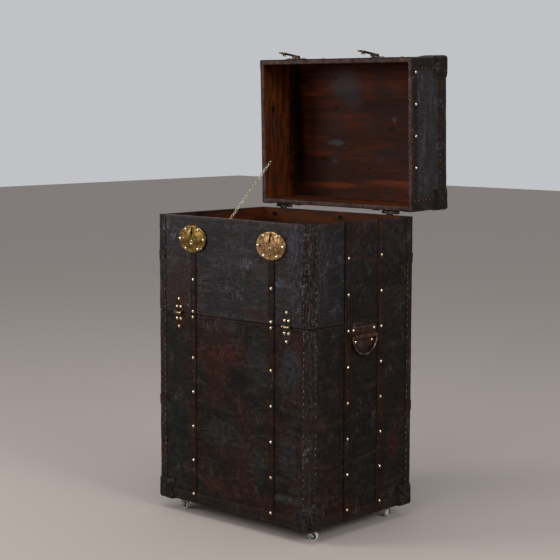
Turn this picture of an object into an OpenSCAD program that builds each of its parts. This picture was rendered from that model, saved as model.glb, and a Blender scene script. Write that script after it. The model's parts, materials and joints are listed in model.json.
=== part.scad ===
// A tall leather-covered trunk on castors. The lid hinges at the back and stands open,
// held by a chain. The upper front is a flap with short side wings that folds down.
// X runs across the front, Y from the front to the back and Z up from the floor.

/* [Trunk] */
// Width over the leather
trunk_w = 575; // [480:1:700]
// Depth over the leather
trunk_d = 427; // [400:1:560]
// Height of the box from its bottom to its rim
box_h = 814; // [760:1:1000]
// Height of the lid from its rim to its top
lid_h = 157; // [120:1:220]
// Height of the seam under the front flap, above the box's bottom
seam_h = 540; // [460:1:560]
// How far the flap's side wings reach back from the front
wing_d = 136; // [100:1:140]
// Thickness of the wall boards
board_t = 11; // [8:0.5:14]
// Thickness of the floor board
floor_t = 12; // [10:0.5:18]
// Thickness of the leather over the boards
skin_t = 2; // [1.5:0.1:3]
// Thickness of the leather turned over the boards' edges
turn_t = 1.2; // [0.8:0.1:2]
// Height of the open seam between the flap and the box below
seam_gap = 2; // [1.5:0.1:4]
// Gap between the shut lid's rim and the box's rim
lid_gap = 0.5; // [0.4:0.1:2]
// Slack of the floor board between the walls
floor_slack = 0.2; // [0.1:0.1:1]

/* [Lid opening] */
// Angle between the shut lid and the lid as it stands open
open_angle = 88.4; // [80:0.1:90]
// Distance of the back hinges' axis behind the leather
back_axis_out = 5; // [4.9:0.1:7]
// Height of the back hinges' axis above the box's rim
back_axis_up = 7; // [6:0.1:9]

/* [Leather trim] */
// Thickness of the edge bindings
binding_t = 1.5; // [1:0.1:2.5]
// Width of the bindings on each face beside an upright edge
binding_w = 26; // [18:1:34]
// Height of the binding round the bottom
bottom_binding_h = 30; // [20:1:40]
// How far the bottom binding turns in under the box
bottom_turn = 20; // [8:1:20]
// Width of the bindings along the lid's upper edges
lid_binding_w = 35; // [24:1:45]
// Width of the band along the lid's rim
lid_rim_band_w = 24; // [20:1:30]
// Height of the small patches on the upright edges
patch_h = 28; // [16:1:40]
// Thickness of the small patches over the leather
patch_t = 3.4; // [2.6:0.1:4]
// Height of the upper edge patches above the box's bottom
patch_up = 685; // [600:1:720]
// Height of the lower edge patches above the box's bottom
patch_low = 268; // [120:1:400]
// Length of the corner caps along each edge
cap_l = 56; // [46:1:70]
// How far the corner caps stand out from the leather
cap_out = 4.5; // [3:0.1:6]
// Rounding radius of the corner caps
cap_r = 7; // [5:0.5:12]
// Width of the leather turned in behind the wings
lining_w = 22; // [12:1:40]
// Thickness of the leather turned in behind the wings
lining_t = 1; // [0.6:0.1:2]

/* [Straps and studs] */
// Thickness of the straps
strap_t = 2.5; // [2:0.1:3.5]
// Width of the straps on the front, back and lid
strap_w = 23; // [18:1:30]
// Width of the straps on the sides
side_strap_w = 27; // [20:1:34]
// Distance of the front straps from the middle
strap_x = 149.5; // [120:0.5:170]
// Distance of the first side strap's middle from the front
side_strap_front = 150.5; // [150.5:0.5:160]
// Distance of the second side strap's middle from the front
side_strap_back = 289; // [280:1:330]
// Diameter of the dome-headed studs
stud_d = 9.5; // [7:0.5:12]
// Height of the studs' domes
stud_h = 3; // [2:0.1:3.4]
// Height of the lowest front stud above the box's bottom
front_stud_low = 27; // [20:1:40]
// Spacing of the studs on the front straps
front_stud_step = 97.5; // [60:0.5:120]
// Distance of the stud pairs from the seam
seam_stud = 8; // [7:0.5:14]
// Height of the lowest side stud above the box's bottom
side_stud_low = 31; // [20:1:40]
// Spacing of the studs on the side and back straps
side_stud_step = 98; // [60:0.5:120]
// Height of the lid's side studs above its rim
rim_stud_up = 16; // [12:1:18]
// Distance of the lid's first side stud from the front
rim_stud_front = 41; // [36:1:60]
// Spacing of the lid's side studs
rim_stud_step = 88; // [50:1:100]

/* [Lock plates and hasps] */
// Length of the oval lock plates
plate_l = 105; // [96:1:112]
// Height of the oval lock plates
plate_w = 77; // [70:1:84]
// Radius of the ovals' ends
plate_end_r = 33; // [28:0.5:34]
// How far the lock plates stand out from the leather
plate_t = 8; // [7:0.1:10]
// Distance of the lock plates' middle below the box's rim
plate_down = 63; // [62:1:74]
// Height of the hasp slot's middle above the lock plate's middle
slot_up = 20; // [18:0.5:22]
// Length of the hasp slot
slot_l = 21; // [18:0.5:22]
// Width of the hasp slot
slot_w = 4.6; // [4.4:0.1:6]
// Distance of the keyhole below the lock plate's middle
keyhole_down = 9; // [8:0.5:14]
// Diameter of the keyhole
keyhole_d = 5; // [4:0.5:6]
// Outside diameter of the ring round the keyhole
keyhole_ring_d = 13; // [10:0.5:15]
// Distance of the lock plates' studs from the plates' edge
plate_stud_in = 7; // [6.5:0.5:8]
// Angle of the four slanting studs round each lock plate
plate_stud_angle = 58; // [52:1:64]
// Travel of the lock bolts
bolt_travel = 7; // [6:0.5:9]
// Height of the lock bolts
bolt_h = 5; // [4:0.1:6]
// Width of the hasps
hasp_w = 22; // [18:1:26]
// Thickness of the hasps
hasp_t = 2.2; // [1.6:0.1:2.4]
// Length of the hasps below their axis
hasp_l = 70; // [66:1:71]
// Height of the hasps' axis above the lid's rim
hasp_axis_up = 8; // [6.5:0.5:10]
// Radius of the hasps' knuckles
hasp_knuckle_r = 3.6; // [3.2:0.1:4]
// Angle by which the hasps stand off the lock plates while the lid is open
hasp_lift = 9.5; // [9.5:0.5:14]
// Length of the staples on the hasps
staple_l = 13; // [12:0.5:14]
// Thickness of the staples on the hasps
staple_t = 3; // [2.4:0.1:3.4]

/* [Front hinges] */
// Distance of the front hinges from the middle
front_hinge_x = 206; // [190:1:215]
// Distance of the front hinges' axis in front of the highest stud
front_axis_clear = 0.9; // [0.8:0.1:2]
// Width of the front hinges
front_hinge_w = 26; // [22:1:30]
// Radius of the front hinges' knuckles
front_knuckle_r = 3.6; // [3.2:0.1:4]
// Radius of the front hinges' pins
front_pin_r = 1.4; // [1:0.1:1.8]
// Width of the leather patches over the front hinges
hinge_patch_w = 32; // [28:1:38]
// Length of the leather patches over the front hinges, from the seam
hinge_patch_l = 50; // [44:1:60]
// Thickness of the leather patches over the front hinges
hinge_patch_t = 2.4; // [2:0.1:3]
// Thickness of the hinge leaves
leaf_t = 1.4; // [1:0.1:1.6]

/* [Back hinges] */
// Distance of the back hinges from the middle
back_hinge_x = 204; // [200:1:215]
// Width of the back hinges
back_hinge_w = 58; // [50:1:64]
// Width of the back hinges' middle knuckle
back_knuckle_w = 25; // [20:1:30]
// Height of the back hinges' leaves
back_leaf_h = 42; // [30:1:60]
// Radius of the back hinges' knuckles
back_knuckle_r = 4.5; // [4:0.1:4.5]
// Radius of the back hinges' pins
back_pin_r = 2; // [1.5:0.1:2.4]
// Running clearance of the hinge pins in the knuckles
pin_clear = 0.05; // [0.02:0.01:0.1]
// Gap between neighbouring knuckles
knuckle_gap = 0.3; // [0.2:0.1:0.6]

/* [Side handles] */
// Distance of the handles' middle from the front
handle_y = 215; // [210:1:222]
// Height of the handle rings' bar above the box's bottom
handle_up = 502; // [460:1:520]
// Radius of the handle rings' wire
ring_wire_r = 3.5; // [3:0.1:4]
// Radius of the handle rings' bow, to the middle of the wire
ring_r = 50; // [44:1:52]
// Clearance of the hanging handle rings over the straps
ring_gap = 1; // [0.6:0.1:2]
// Thickness of the leather pads under the handle rings
pad_t = 2.5; // [2:0.1:2.5]
// Thickness of the leather loop over the bar
loop_t = 2.4; // [1.6:0.1:3]
// Clearance of the bar in its loop
loop_clear = 0.1; // [0.05:0.05:0.1]

/* [Castors] */
// Height of the castors
castor_h = 37; // [35:1:42]
// Diameter of the castor wheels
wheel_d = 25; // [22:1:26]
// Width of the castor wheels
wheel_w = 10; // [8:0.5:12]
// Distance of the castors' pivots from the trunk's faces
castor_in = 43; // [43:1:60]
// Distance of the wheels' axles behind the pivots
castor_trail = 16; // [14:0.5:18]
// Side of the castors' square plates
castor_plate = 38; // [34:1:38]
// Thickness of the castors' plates
castor_plate_t = 2; // [1.5:0.1:2.5]
// Radius of the castors' king pins
king_pin_r = 3; // [2.5:0.1:3.5]
// Radius of the castors' axles
axle_r = 2; // [1.5:0.1:2.5]
// Thickness of the castors' forks
fork_t = 1.5; // [1.2:0.1:2]
// Direction of the front right castor's trail
castor_fr = 17; // [-180:1:180]
// Direction of the front left castor's trail
castor_fl = -6; // [-180:1:180]
// Direction of the rear right castor's trail
castor_rr = -60; // [-180:1:180]
// Direction of the rear left castor's trail
castor_rl = -35; // [-180:1:180]

/* [Chain] */
// Distance of the chain's lid screw from the front, with the lid shut
chain_lid_y = 304; // [290:1:310]
// Height of the chain's lid screw above the lid's rim
chain_lid_up = 15.5; // [12:0.5:24]
// Distance of the chain's box screw from the front
chain_box_y = 214; // [205:1:225]
// Distance of the chain's box screw below the rim
chain_box_down = 75; // [60:1:90]
// Distance of the chain from the left wall
chain_in = 8; // [6:0.5:10]
// Diameter of the links' wire
link_wire = 2.2; // [1.8:0.1:2.4]
// Radius of the links' ends, to the middle of the wire
link_r = 3.2; // [3:0.1:4]
// Gap between the links' wires
link_gap = 0.15; // [0.1:0.05:0.3]
// Radius of the chain screws' shanks
chain_screw_r = 1.5; // [1.2:0.1:1.7]

/* [Hidden] */
$fn = 48;

wood = "#5a2c1c";
leather = "#2b2625";
trim = "#33221d";
brass = "#b08a45";
dull_brass = "#7d6a38";
steel = "#9a9a96";
pale = "#d9dad6";

// half widths across X: outside of the leather, outside and inside of the boards
out_x = trunk_w / 2;
board_x = out_x - skin_t;
in_x = board_x - board_t;
// places along Y: inside of the front and back boards
front_in = skin_t + board_t;
back_in = trunk_d - skin_t - board_t;
// places along Z
box_z = castor_h;
rim_z = box_z + box_h;
seam_z = box_z + seam_h;
seam_low = seam_z - seam_gap / 2;
seam_top = seam_z + seam_gap / 2;
wing_edge = wing_d - seam_gap / 4;
fixed_edge = wing_d + seam_gap / 4;
lid_rim = rim_z + lid_gap;
lid_top = lid_rim + lid_h;
over = 1;

back_axis_y = trunk_d + back_axis_out;
back_axis_z = rim_z + back_axis_up;
front_axis_y = -strap_t - stud_h - front_axis_clear;
plate_z = rim_z - plate_down;
slot_z = plate_z + slot_up;
hasp_clear = 0.6;
hasp_axis_y = -plate_t;
hasp_axis_z = lid_rim + hasp_axis_up;
ring_z = box_z + handle_up;
ring_out = strap_t + ring_gap + ring_wire_r;
chain_x = -in_x + chain_in;

// With the lid open, the front hinges' knuckles or the keyhole rings reach furthest forward
// and the lid's rounded corner caps furthest back. The model stands with the middle between
// them over the origin.
keyhole_ring_out = 1;
front_reach = max(front_knuckle_r - front_axis_y, plate_t + keyhole_ring_out);
back_reach = back_axis_y + (lid_top + cap_out - cap_r - back_axis_z) * sin(open_angle)
    + (trunk_d + cap_out - cap_r - back_axis_y) * cos(open_angle) + cap_r;
frame_y = -(back_reach - front_reach) / 2;

module in_frame() {
    translate([0, frame_y, 0]) children();
}

module lid_open() {
    translate([0, back_axis_y, back_axis_z]) rotate([-open_angle, 0, 0])
        translate([0, -back_axis_y, -back_axis_z]) children();
}

module box(low, high) {
    translate(low) cube(high - low);
}

module left_and_right() {
    children();
    mirror([1, 0, 0]) children();
}

module facing_front(x, z, out = 0) {
    translate([x, -out, z]) rotate([90, 0, 0]) children();
}

module facing_back(x, z, out = 0) {
    translate([x, trunk_d + out, z]) rotate([-90, 0, 0]) children();
}

module facing_right(y, z, out = 0) {
    translate([out_x + out, y, z]) rotate([90, 0, 90]) children();
}

// a dome-headed stud whose flat back lies at Z = 0
module stud() {
    ball = (stud_d * stud_d / 4 + stud_h * stud_h) / (2 * stud_h);
    intersection() {
        translate([0, 0, stud_h - ball]) sphere(ball);
        translate([0, 0, stud_h / 2]) cube([stud_d + 1, stud_d + 1, stud_h], center = true);
    }
}

// the box's side profile, cut away where the flap and its wings sit
module box_profile(x, front, back, step, top, low_top, low) {
    rotate([90, 0, 90]) translate([0, 0, -x]) linear_extrude(2 * x)
        polygon([[front, low], [back, low], [back, top], [step, top], [step, low_top],
            [front, low_top]]);
}

module cavity(low, high, back = back_in) {
    box([-in_x, front_in, low], [in_x, back, high]);
}

// Wooden boards of the box

// puts a castor at the right or left and at the front or back, with its trail turned
module castor_at(right, front, turn) {
    translate([right ? out_x - castor_in : castor_in - out_x,
        front ? castor_in : trunk_d - castor_in, 0]) rotate([0, 0, turn]) children();
}

module castor_places() {
    for (right = [false, true], front = [false, true]) castor_at(right, front, 0) children();
}

module screw_places() {
    screw_at = castor_plate / 2 - 5;
    for (x = [-screw_at, screw_at], y = [-screw_at, screw_at]) translate([x, y, 0]) children();
}

module floor_board() {
    color(wood) in_frame() difference() {
        box([-in_x + floor_slack, front_in + floor_slack, box_z],
            [in_x - floor_slack, back_in - floor_slack, box_z + floor_t]);
        castor_places() screw_places() translate([0, 0, box_z - over])
            cylinder(r = screw_r + 0.1, h = floor_t - 2 + over);
    }
}

module back_board() {
    color(wood) in_frame()
        box([-board_x, back_in, box_z], [board_x, trunk_d - skin_t, rim_z - turn_t]);
}

module side_board() {
    translate([in_x, 0, 0]) rotate([90, 0, 90]) linear_extrude(board_t)
        polygon([[front_in, box_z], [back_in, box_z], [back_in, rim_z - turn_t],
            [fixed_edge + turn_t, rim_z - turn_t], [fixed_edge + turn_t, seam_low - turn_t],
            [front_in, seam_low - turn_t]]);
}

module left_side_board() {
    color(wood) in_frame() difference() {
        mirror([1, 0, 0]) side_board();
        box_screw_place() chain_screw_hole();
    }
}

module right_side_board() {
    color(wood) in_frame() side_board();
}

module front_board() {
    color(wood) in_frame()
        box([-board_x, skin_t, box_z], [board_x, front_in, seam_low - turn_t]);
}

// Leather of the box

module body_leather() {
    color(leather) in_frame() union() {
        difference() {
            box_profile(out_x, 0, trunk_d, fixed_edge, rim_z, seam_low, box_z);
            box_profile(board_x, skin_t, trunk_d - skin_t, fixed_edge + turn_t,
                rim_z - turn_t, seam_low - turn_t, box_z - over);
            cavity(box_z - over, rim_z + over);
        }
        left_and_right() box([in_x - lining_t, fixed_edge, seam_low],
            [in_x, fixed_edge + lining_w, rim_z]);
    }
}

// an upright wrap round the trunk's front right edge
module edge_wrap(low, high, width, t) {
    box([out_x - width, -t, low], [out_x + t, width, high]);
}

module rear_edge_wrap(low, high, width, t) {
    translate([0, trunk_d, 0]) mirror([0, 1, 0]) edge_wrap(low, high, width, t);
}

module strap_cuts() {
    left_and_right() {
        box([strap_x - strap_w / 2, -2 * strap_t, box_z], [strap_x + strap_w / 2,
            trunk_d + 2 * strap_t, rim_z]);
        for (y = [side_strap_front, side_strap_back])
            box([0, y - side_strap_w / 2, box_z], [out_x + 2 * strap_t, y + side_strap_w / 2, rim_z]);
    }
}

module body_edge_bindings() {
    color(trim) in_frame() body_binding_shape();
}

module body_binding_shape() {
    difference() {
        union() {
            left_and_right() {
                edge_wrap(box_z, seam_low, binding_w, binding_t);
                edge_wrap(box_z + patch_low, box_z + patch_low + patch_h, binding_w, patch_t);
                rear_edge_wrap(box_z, rim_z, binding_w, binding_t);
                rear_edge_wrap(box_z + patch_low, box_z + patch_low + patch_h, binding_w, patch_t);
                rear_edge_wrap(box_z + patch_up, box_z + patch_up + patch_h, binding_w, patch_t);
            }
            box([-out_x - binding_t, -binding_t, box_z - binding_t],
                [out_x + binding_t, trunk_d + binding_t, box_z + bottom_binding_h]);
        }
        box([-out_x, 0, box_z], [out_x, trunk_d, rim_z + over]);
        box([-out_x + bottom_turn, bottom_turn, box_z - 2 * binding_t],
            [out_x - bottom_turn, trunk_d - bottom_turn, box_z + over]);
        strap_cuts();
    }
}

// a block with its corner at the origin rounded, filling the positive octant
module round_corner(length, r) {
    box([r, r, 0], [length, length, length]);
    box([r, 0, r], [length, length, length]);
    box([0, r, r], [length, length, length]);
    translate([r, r, r]) {
        sphere(r);
        cylinder(r = r, h = length - r);
        rotate([0, 90, 0]) cylinder(r = r, h = length - r);
        rotate([-90, 0, 0]) cylinder(r = r, h = length - r);
    }
}

module box_bottom_corner() {
    translate([-out_x - cap_out, -cap_out, box_z - cap_out])
        round_corner(cap_l + cap_out, cap_r);
}

module body_corner_caps() {
    color(trim) in_frame() difference() {
        left_and_right() {
            box_bottom_corner();
            translate([0, trunk_d, 0]) mirror([0, 1, 0]) box_bottom_corner();
        }
        box([-out_x, 0, box_z], [out_x, trunk_d, rim_z]);
        box([-out_x + bottom_turn, bottom_turn, 0],
            [out_x - bottom_turn, trunk_d - bottom_turn, box_z + over]);
        body_binding_shape();
    }
}

module strap_run(x, low, high, width) {
    box([x - width / 2, -strap_t, low], [x + width / 2, 0, high]);
}

module body_straps() {
    color(trim) in_frame() left_and_right() {
        strap_run(strap_x, box_z, seam_low, strap_w);
        translate([0, trunk_d, 0]) mirror([0, 1, 0])
            strap_run(strap_x, box_z, rim_z, strap_w);
        for (y = [side_strap_front, side_strap_back])
            box([out_x, y - side_strap_w / 2, box_z], [out_x + strap_t, y + side_strap_w / 2, rim_z]);
    }
}

front_stud_count =
    floor((seam_h - seam_stud - front_stud_step / 2 - front_stud_low) / front_stud_step) + 1;
side_stud_count = floor((box_h - side_stud_low - stud_d) / side_stud_step) + 1;

module body_studs() {
    color(brass) in_frame() left_and_right() {
        for (i = [0 : front_stud_count - 1])
            facing_front(strap_x, box_z + front_stud_low + i * front_stud_step, strap_t) stud();
        facing_front(strap_x, seam_z - seam_stud, strap_t) stud();
        for (i = [0 : side_stud_count - 1]) {
            z = box_z + side_stud_low + i * side_stud_step;
            facing_back(strap_x, z, strap_t) stud();
            for (y = [side_strap_front, side_strap_back]) facing_right(y, z, strap_t) stud();
        }
        for (place = pad_studs)
            facing_right(handle_y + place[0], ring_z + place[1], pad_t) stud();
        mirror([0, 0, 1]) translate([0, 0, -2 * seam_z]) hinge_studs();
    }
}

// three studs above the seam at one front hinge, on its leather patch
module hinge_studs() {
    pair_x = 7.5;
    pair_up = 17;
    single_up = hinge_patch_l - 11;
    for (x = [-pair_x, pair_x])
        facing_front(front_hinge_x + x, seam_z + pair_up, hinge_patch_t) stud();
    facing_front(front_hinge_x, seam_z + single_up, hinge_patch_t) stud();
}

// Side handles

pad_half = min(handle_y - side_strap_front, side_strap_back - handle_y) - side_strap_w / 2 - 1;
// heights of the pads' outline from the bar, and half the width of their lower ends
pad_top = 27;
pad_shoulder = 6;
pad_waist = -20;
pad_low = -39;
pad_tip = 6;
// how much narrower the pads are at their waists, on each side
pad_taper = 6;
pad_studs = [[-43, 18.5], [43, 18.5], [-34, -13.5], [34, -13.5]];
loop_half = ring_r - ring_wire_r - 2;

module handle_loops() {
    color(trim) in_frame() left_and_right() difference() {
        union() {
            facing_right(handle_y, ring_z) linear_extrude(pad_t) polygon([[-pad_half, pad_top],
                [-pad_half, pad_shoulder], [-pad_half + pad_taper, pad_waist], [-pad_tip, pad_low],
                [pad_tip, pad_low], [pad_half - pad_taper, pad_waist], [pad_half, pad_shoulder],
                [pad_half, pad_top]]);
            translate([out_x + ring_out, handle_y, ring_z]) rotate([90, 0, 0])
                cylinder(r = ring_wire_r + loop_t, h = 2 * loop_half, center = true);
            box([out_x, handle_y - loop_half, ring_z - ring_wire_r - loop_t],
                [out_x + ring_out, handle_y + loop_half, ring_z + ring_wire_r + loop_t]);
        }
        translate([out_x + ring_out, handle_y, ring_z]) rotate([90, 0, 0])
            cylinder(r = ring_wire_r + loop_clear, h = 2 * ring_r + 2 * over, center = true);
    }
}

module handle_ring() {
    translate([out_x + ring_out, handle_y, ring_z]) {
        rotate([90, 0, 0]) cylinder(r = ring_wire_r, h = 2 * ring_r, center = true);
        for (y = [-ring_r, ring_r]) translate([0, y, 0]) sphere(ring_wire_r);
        rotate([90, 180, 90]) rotate_extrude(angle = 180)
            translate([ring_r, 0]) circle(ring_wire_r);
    }
}

module right_handle_ring() {
    color(dull_brass) in_frame() handle_ring();
}

module left_handle_ring() {
    color(dull_brass) in_frame() mirror([1, 0, 0]) handle_ring();
}

// Castors

screw_r = 1.9;
axle_z = wheel_d / 2;
race_t = 3;
race_r = 12;
fork_top = castor_h - castor_plate_t - race_t - knuckle_gap;
fork_bottom = fork_top - fork_t - 0.3;
king_head_t = 1.4;
fork_in = wheel_w / 2 + 0.6;

module castor_plate_shape() {
    screw_at = castor_plate / 2 - 5;
    difference() {
        union() {
            translate([-castor_plate / 2, -castor_plate / 2, castor_h - castor_plate_t])
                cube([castor_plate, castor_plate, castor_plate_t]);
            translate([0, 0, castor_h - castor_plate_t - race_t]) cylinder(r = race_r, h = race_t);
            translate([0, 0, fork_bottom]) cylinder(r = king_pin_r, h = castor_h - fork_bottom);
            translate([0, 0, fork_bottom - king_head_t])
                cylinder(r = king_pin_r + 1.6, h = king_head_t);
        }
        screw_places() translate([0, 0, castor_h - castor_plate_t - over])
            cylinder(r = screw_r + 0.1, h = castor_plate_t + 2 * over);
    }
}

module castor_plates() {
    color(steel) in_frame() castor_places() castor_plate_shape();
}

module castor_screws() {
    color(steel) in_frame() castor_places() screw_places() {
        translate([0, 0, castor_h - castor_plate_t]) cylinder(r = screw_r, h = floor_t - 1);
        translate([0, 0, castor_h - castor_plate_t - 1.6]) cylinder(r1 = 2.4, r2 = 3.6, h = 1.6);
    }
}

module castor_fork_shape() {
    leg_w = 9;
    difference() {
        union() {
            translate([0, 0, fork_top - fork_t]) cylinder(r = race_r, h = fork_t);
            for (side = [-1, 1]) translate([0, side * (fork_in + fork_t / 2), 0])
                rotate([90, 0, 0]) translate([0, 0, -fork_t / 2]) linear_extrude(fork_t) {
                    polygon([[-4, fork_top], [race_r - 2, fork_top],
                        [castor_trail + leg_w / 2, axle_z], [castor_trail - leg_w / 2, axle_z]]);
                    translate([castor_trail, axle_z]) circle(leg_w / 2);
                }
        }
        translate([0, 0, fork_top - fork_t - over])
            cylinder(r = king_pin_r + pin_clear, h = fork_t + 2 * over);
    }
    translate([castor_trail, 0, axle_z]) rotate([90, 0, 0])
        cylinder(r = axle_r, h = 2 * (fork_in + fork_t) + 1.6, center = true);
}

module castor_wheel_shape() {
    bore = axle_r + pin_clear;
    tread_r = 1.5;
    half = wheel_w / 2;
    translate([castor_trail, 0, axle_z]) rotate([90, 0, 0]) difference() {
        union() {
            cylinder(r = wheel_d / 2, h = wheel_w - 2 * tread_r, center = true);
            cylinder(r = wheel_d / 2 - tread_r, h = wheel_w, center = true);
            for (end = [-1, 1]) translate([0, 0, end * (half - tread_r)]) rotate_extrude()
                translate([wheel_d / 2 - tread_r, 0]) circle(tread_r);
        }
        cylinder(r = bore, h = wheel_w + 2 * over, center = true);
        for (end = [-1, 1]) translate([0, 0, end * (half - 0.5)]) difference() {
            cylinder(r = wheel_d / 2 - 3.5, h = 3, center = true);
            cylinder(r = axle_r + 2.4, h = 4, center = true);
        }
    }
}

module castor_fork_fr() {
    color(steel) in_frame() castor_at(true, true, castor_fr) castor_fork_shape();
}

module castor_fork_fl() {
    color(steel) in_frame() castor_at(false, true, castor_fl) castor_fork_shape();
}

module castor_fork_rr() {
    color(steel) in_frame() castor_at(true, false, castor_rr) castor_fork_shape();
}

module castor_fork_rl() {
    color(steel) in_frame() castor_at(false, false, castor_rl) castor_fork_shape();
}

module castor_wheel_fr() {
    color(pale) in_frame() castor_at(true, true, castor_fr) castor_wheel_shape();
}

module castor_wheel_fl() {
    color(pale) in_frame() castor_at(false, true, castor_fl) castor_wheel_shape();
}

module castor_wheel_rr() {
    color(pale) in_frame() castor_at(true, false, castor_rr) castor_wheel_shape();
}

module castor_wheel_rl() {
    color(pale) in_frame() castor_at(false, false, castor_rl) castor_wheel_shape();
}

// Front flap

module flap_board() {
    color(wood) in_frame() box([-board_x, skin_t, seam_top + turn_t],
        [board_x, front_in, rim_z - turn_t]);
}

module wing() {
    box([in_x, front_in, seam_top + turn_t], [board_x, wing_edge - turn_t, rim_z - turn_t]);
}

module flap_right_wing() {
    color(wood) in_frame() wing();
}

module flap_left_wing() {
    color(wood) in_frame() mirror([1, 0, 0]) wing();
}

module flap_leather() {
    color(leather) in_frame() difference() {
        box([-out_x, 0, seam_top], [out_x, wing_edge, rim_z]);
        box([-board_x, skin_t, seam_top + turn_t],
            [board_x, wing_edge - turn_t, rim_z - turn_t]);
        cavity(seam_top - over, rim_z + over, wing_edge + over);
    }
}

module flap_edge_bindings() {
    color(trim) in_frame() difference() {
        left_and_right() {
            edge_wrap(seam_top, rim_z, binding_w, binding_t);
            edge_wrap(box_z + patch_up, box_z + patch_up + patch_h, binding_w, patch_t);
        }
        box([-out_x, 0, seam_top - over], [out_x, trunk_d, rim_z + over]);
    }
}

module flap_straps() {
    strap_end = plate_z - plate_w / 2 - 2;
    color(trim) in_frame() left_and_right() strap_run(strap_x, seam_top, strap_end, strap_w);
}

// the studs round a lock plate lie on an oval inside its edge
plate_stud_ring = [plate_l / 2 - plate_stud_in, plate_w / 2 - plate_stud_in];
plate_stud_angles = [0, plate_stud_angle, 180 - plate_stud_angle, 180, 180 + plate_stud_angle,
    -plate_stud_angle];

module flap_studs() {
    color(brass) in_frame() left_and_right() {
        facing_front(strap_x, seam_z + seam_stud, strap_t) stud();
        facing_front(strap_x, seam_z + front_stud_step, strap_t) stud();
        hinge_studs();
        for (a = plate_stud_angles)
            facing_front(strap_x + plate_stud_ring[0] * cos(a), plate_z + plate_stud_ring[1] * sin(a),
                plate_rim_t) stud();
    }
}

// Lock plates and bolts

plate_step = 1.1;
plate_rim_t = plate_t - 2 * plate_step;
plate_dome_in = plate_stud_in + stud_d / 2 + 1;
plate_top_in = 1.5 * plate_dome_in;
bolt_t = 1.4;
bolt_l = 12;
bolt_clear = 0.3;
lock_room_t = plate_rim_t - 0.2;
bolt_out = lock_room_t - bolt_clear - bolt_t;
staple_end = bolt_out - bolt_clear - 1.5;

// the points of an arc about [x, y], without the given number of points at each end
function arc_points(x, y, r, from, to, steps, skip) = [for (i = [skip : steps - skip])
    let (angle = from + (to - from) * i / steps) [x + r * cos(angle), y + r * sin(angle)]];

// an oval of two end arcs and two flatter side arcs that meet them smoothly
module oval(length, width, end_r) {
    a = length / 2 - end_r;
    b = width / 2 - end_r;
    k = (a * a - b * b) / (2 * b);
    side_r = width / 2 + k;
    meet = atan2(a, k);
    polygon(concat(arc_points(0, -k, side_r, 90 - meet, 90 + meet, 16, 0),
        arc_points(-a, 0, end_r, 90 + meet, 270 - meet, 28, 1),
        arc_points(0, k, side_r, 270 - meet, 270 + meet, 16, 0),
        arc_points(a, 0, end_r, meet - 90, 90 - meet, 28, 1)));
}

module lock_plate() {
    facing_front(strap_x, plate_z) difference() {
        union() {
            linear_extrude(plate_rim_t) oval(plate_l, plate_w, plate_end_r);
            linear_extrude(plate_rim_t + plate_step) oval(plate_l - 2 * plate_dome_in,
                plate_w - 2 * plate_dome_in, plate_end_r - plate_dome_in);
            linear_extrude(plate_t) oval(plate_l - 2 * plate_top_in,
                plate_w - 2 * plate_top_in, plate_end_r - plate_top_in);
            translate([0, -keyhole_down, 0])
                cylinder(r = keyhole_ring_d / 2, h = plate_t + keyhole_ring_out);
        }
        translate([-slot_w / 2, slot_up - slot_l / 2, -over])
            cube([slot_w, slot_l, plate_t + 2 * over]);
        translate([0, -keyhole_down, -over])
            cylinder(r = keyhole_d / 2, h = plate_t + keyhole_ring_out + 2 * over);
        translate([-bolt_travel, slot_up - bolt_h / 2 - bolt_clear, -over])
            cube([slot_w / 2 + bolt_travel + bolt_l + 2 * bolt_clear, bolt_h + 2 * bolt_clear,
                lock_room_t + over]);
    }
}

module lock_plates() {
    color(brass) in_frame() left_and_right() lock_plate();
}

// the bolt is drawn back here, clear of the slot
module lock_bolt() {
    facing_front(strap_x, plate_z)
        translate([slot_w / 2 + bolt_clear, slot_up - bolt_h / 2, bolt_out])
            cube([bolt_l, bolt_h, bolt_t]);
}

module right_lock_bolt() {
    color(steel) in_frame() lock_bolt();
}

module left_lock_bolt() {
    color(steel) in_frame() mirror([1, 0, 0]) lock_bolt();
}

// Front hinges

front_leaf_h = 30;
front_mid_w = (front_hinge_w - 2 * knuckle_gap) / 3;
hinge_patch_from = front_knuckle_r + 1.6;
hinge_patch_gap = 1.5;

module along_x(x, r, width) {
    translate([x, 0, 0]) rotate([0, 90, 0]) cylinder(r = r, h = width, center = true);
}

// one half of a front hinge's leather patch, above the seam
module hinge_patch() {
    facing_front(front_hinge_x, seam_z) difference() {
        linear_extrude(hinge_patch_t) polygon([[-hinge_patch_w / 2, hinge_patch_gap],
            [hinge_patch_w / 2, hinge_patch_gap],
            [hinge_patch_w / 2, hinge_patch_l - hinge_patch_w / 2],
            [3, hinge_patch_l], [-3, hinge_patch_l],
            [-hinge_patch_w / 2, hinge_patch_l - hinge_patch_w / 2]]);
        translate([-front_hinge_w / 2, 0, -over])
            cube([front_hinge_w, front_leaf_h, leaf_t + over]);
        translate([-front_hinge_w / 2 - knuckle_gap, 0, -over])
            cube([front_hinge_w + 2 * knuckle_gap, hinge_patch_from, hinge_patch_t + 2 * over]);
    }
}

// the outline of a front hinge's knuckle and of the arm that joins it to the leaf
module front_knuckle_outline() {
    arm_low = 0.5;
    arm_front = front_axis_y + front_pin_r + 0.6;
    translate([front_axis_y, 0]) circle(front_knuckle_r);
    polygon([[arm_front, arm_low], [0, arm_low], [0, hinge_patch_from + over],
        [-leaf_t, hinge_patch_from + over], [-leaf_t, hinge_patch_from],
        [arm_front, hinge_patch_from]]);
}

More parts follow.
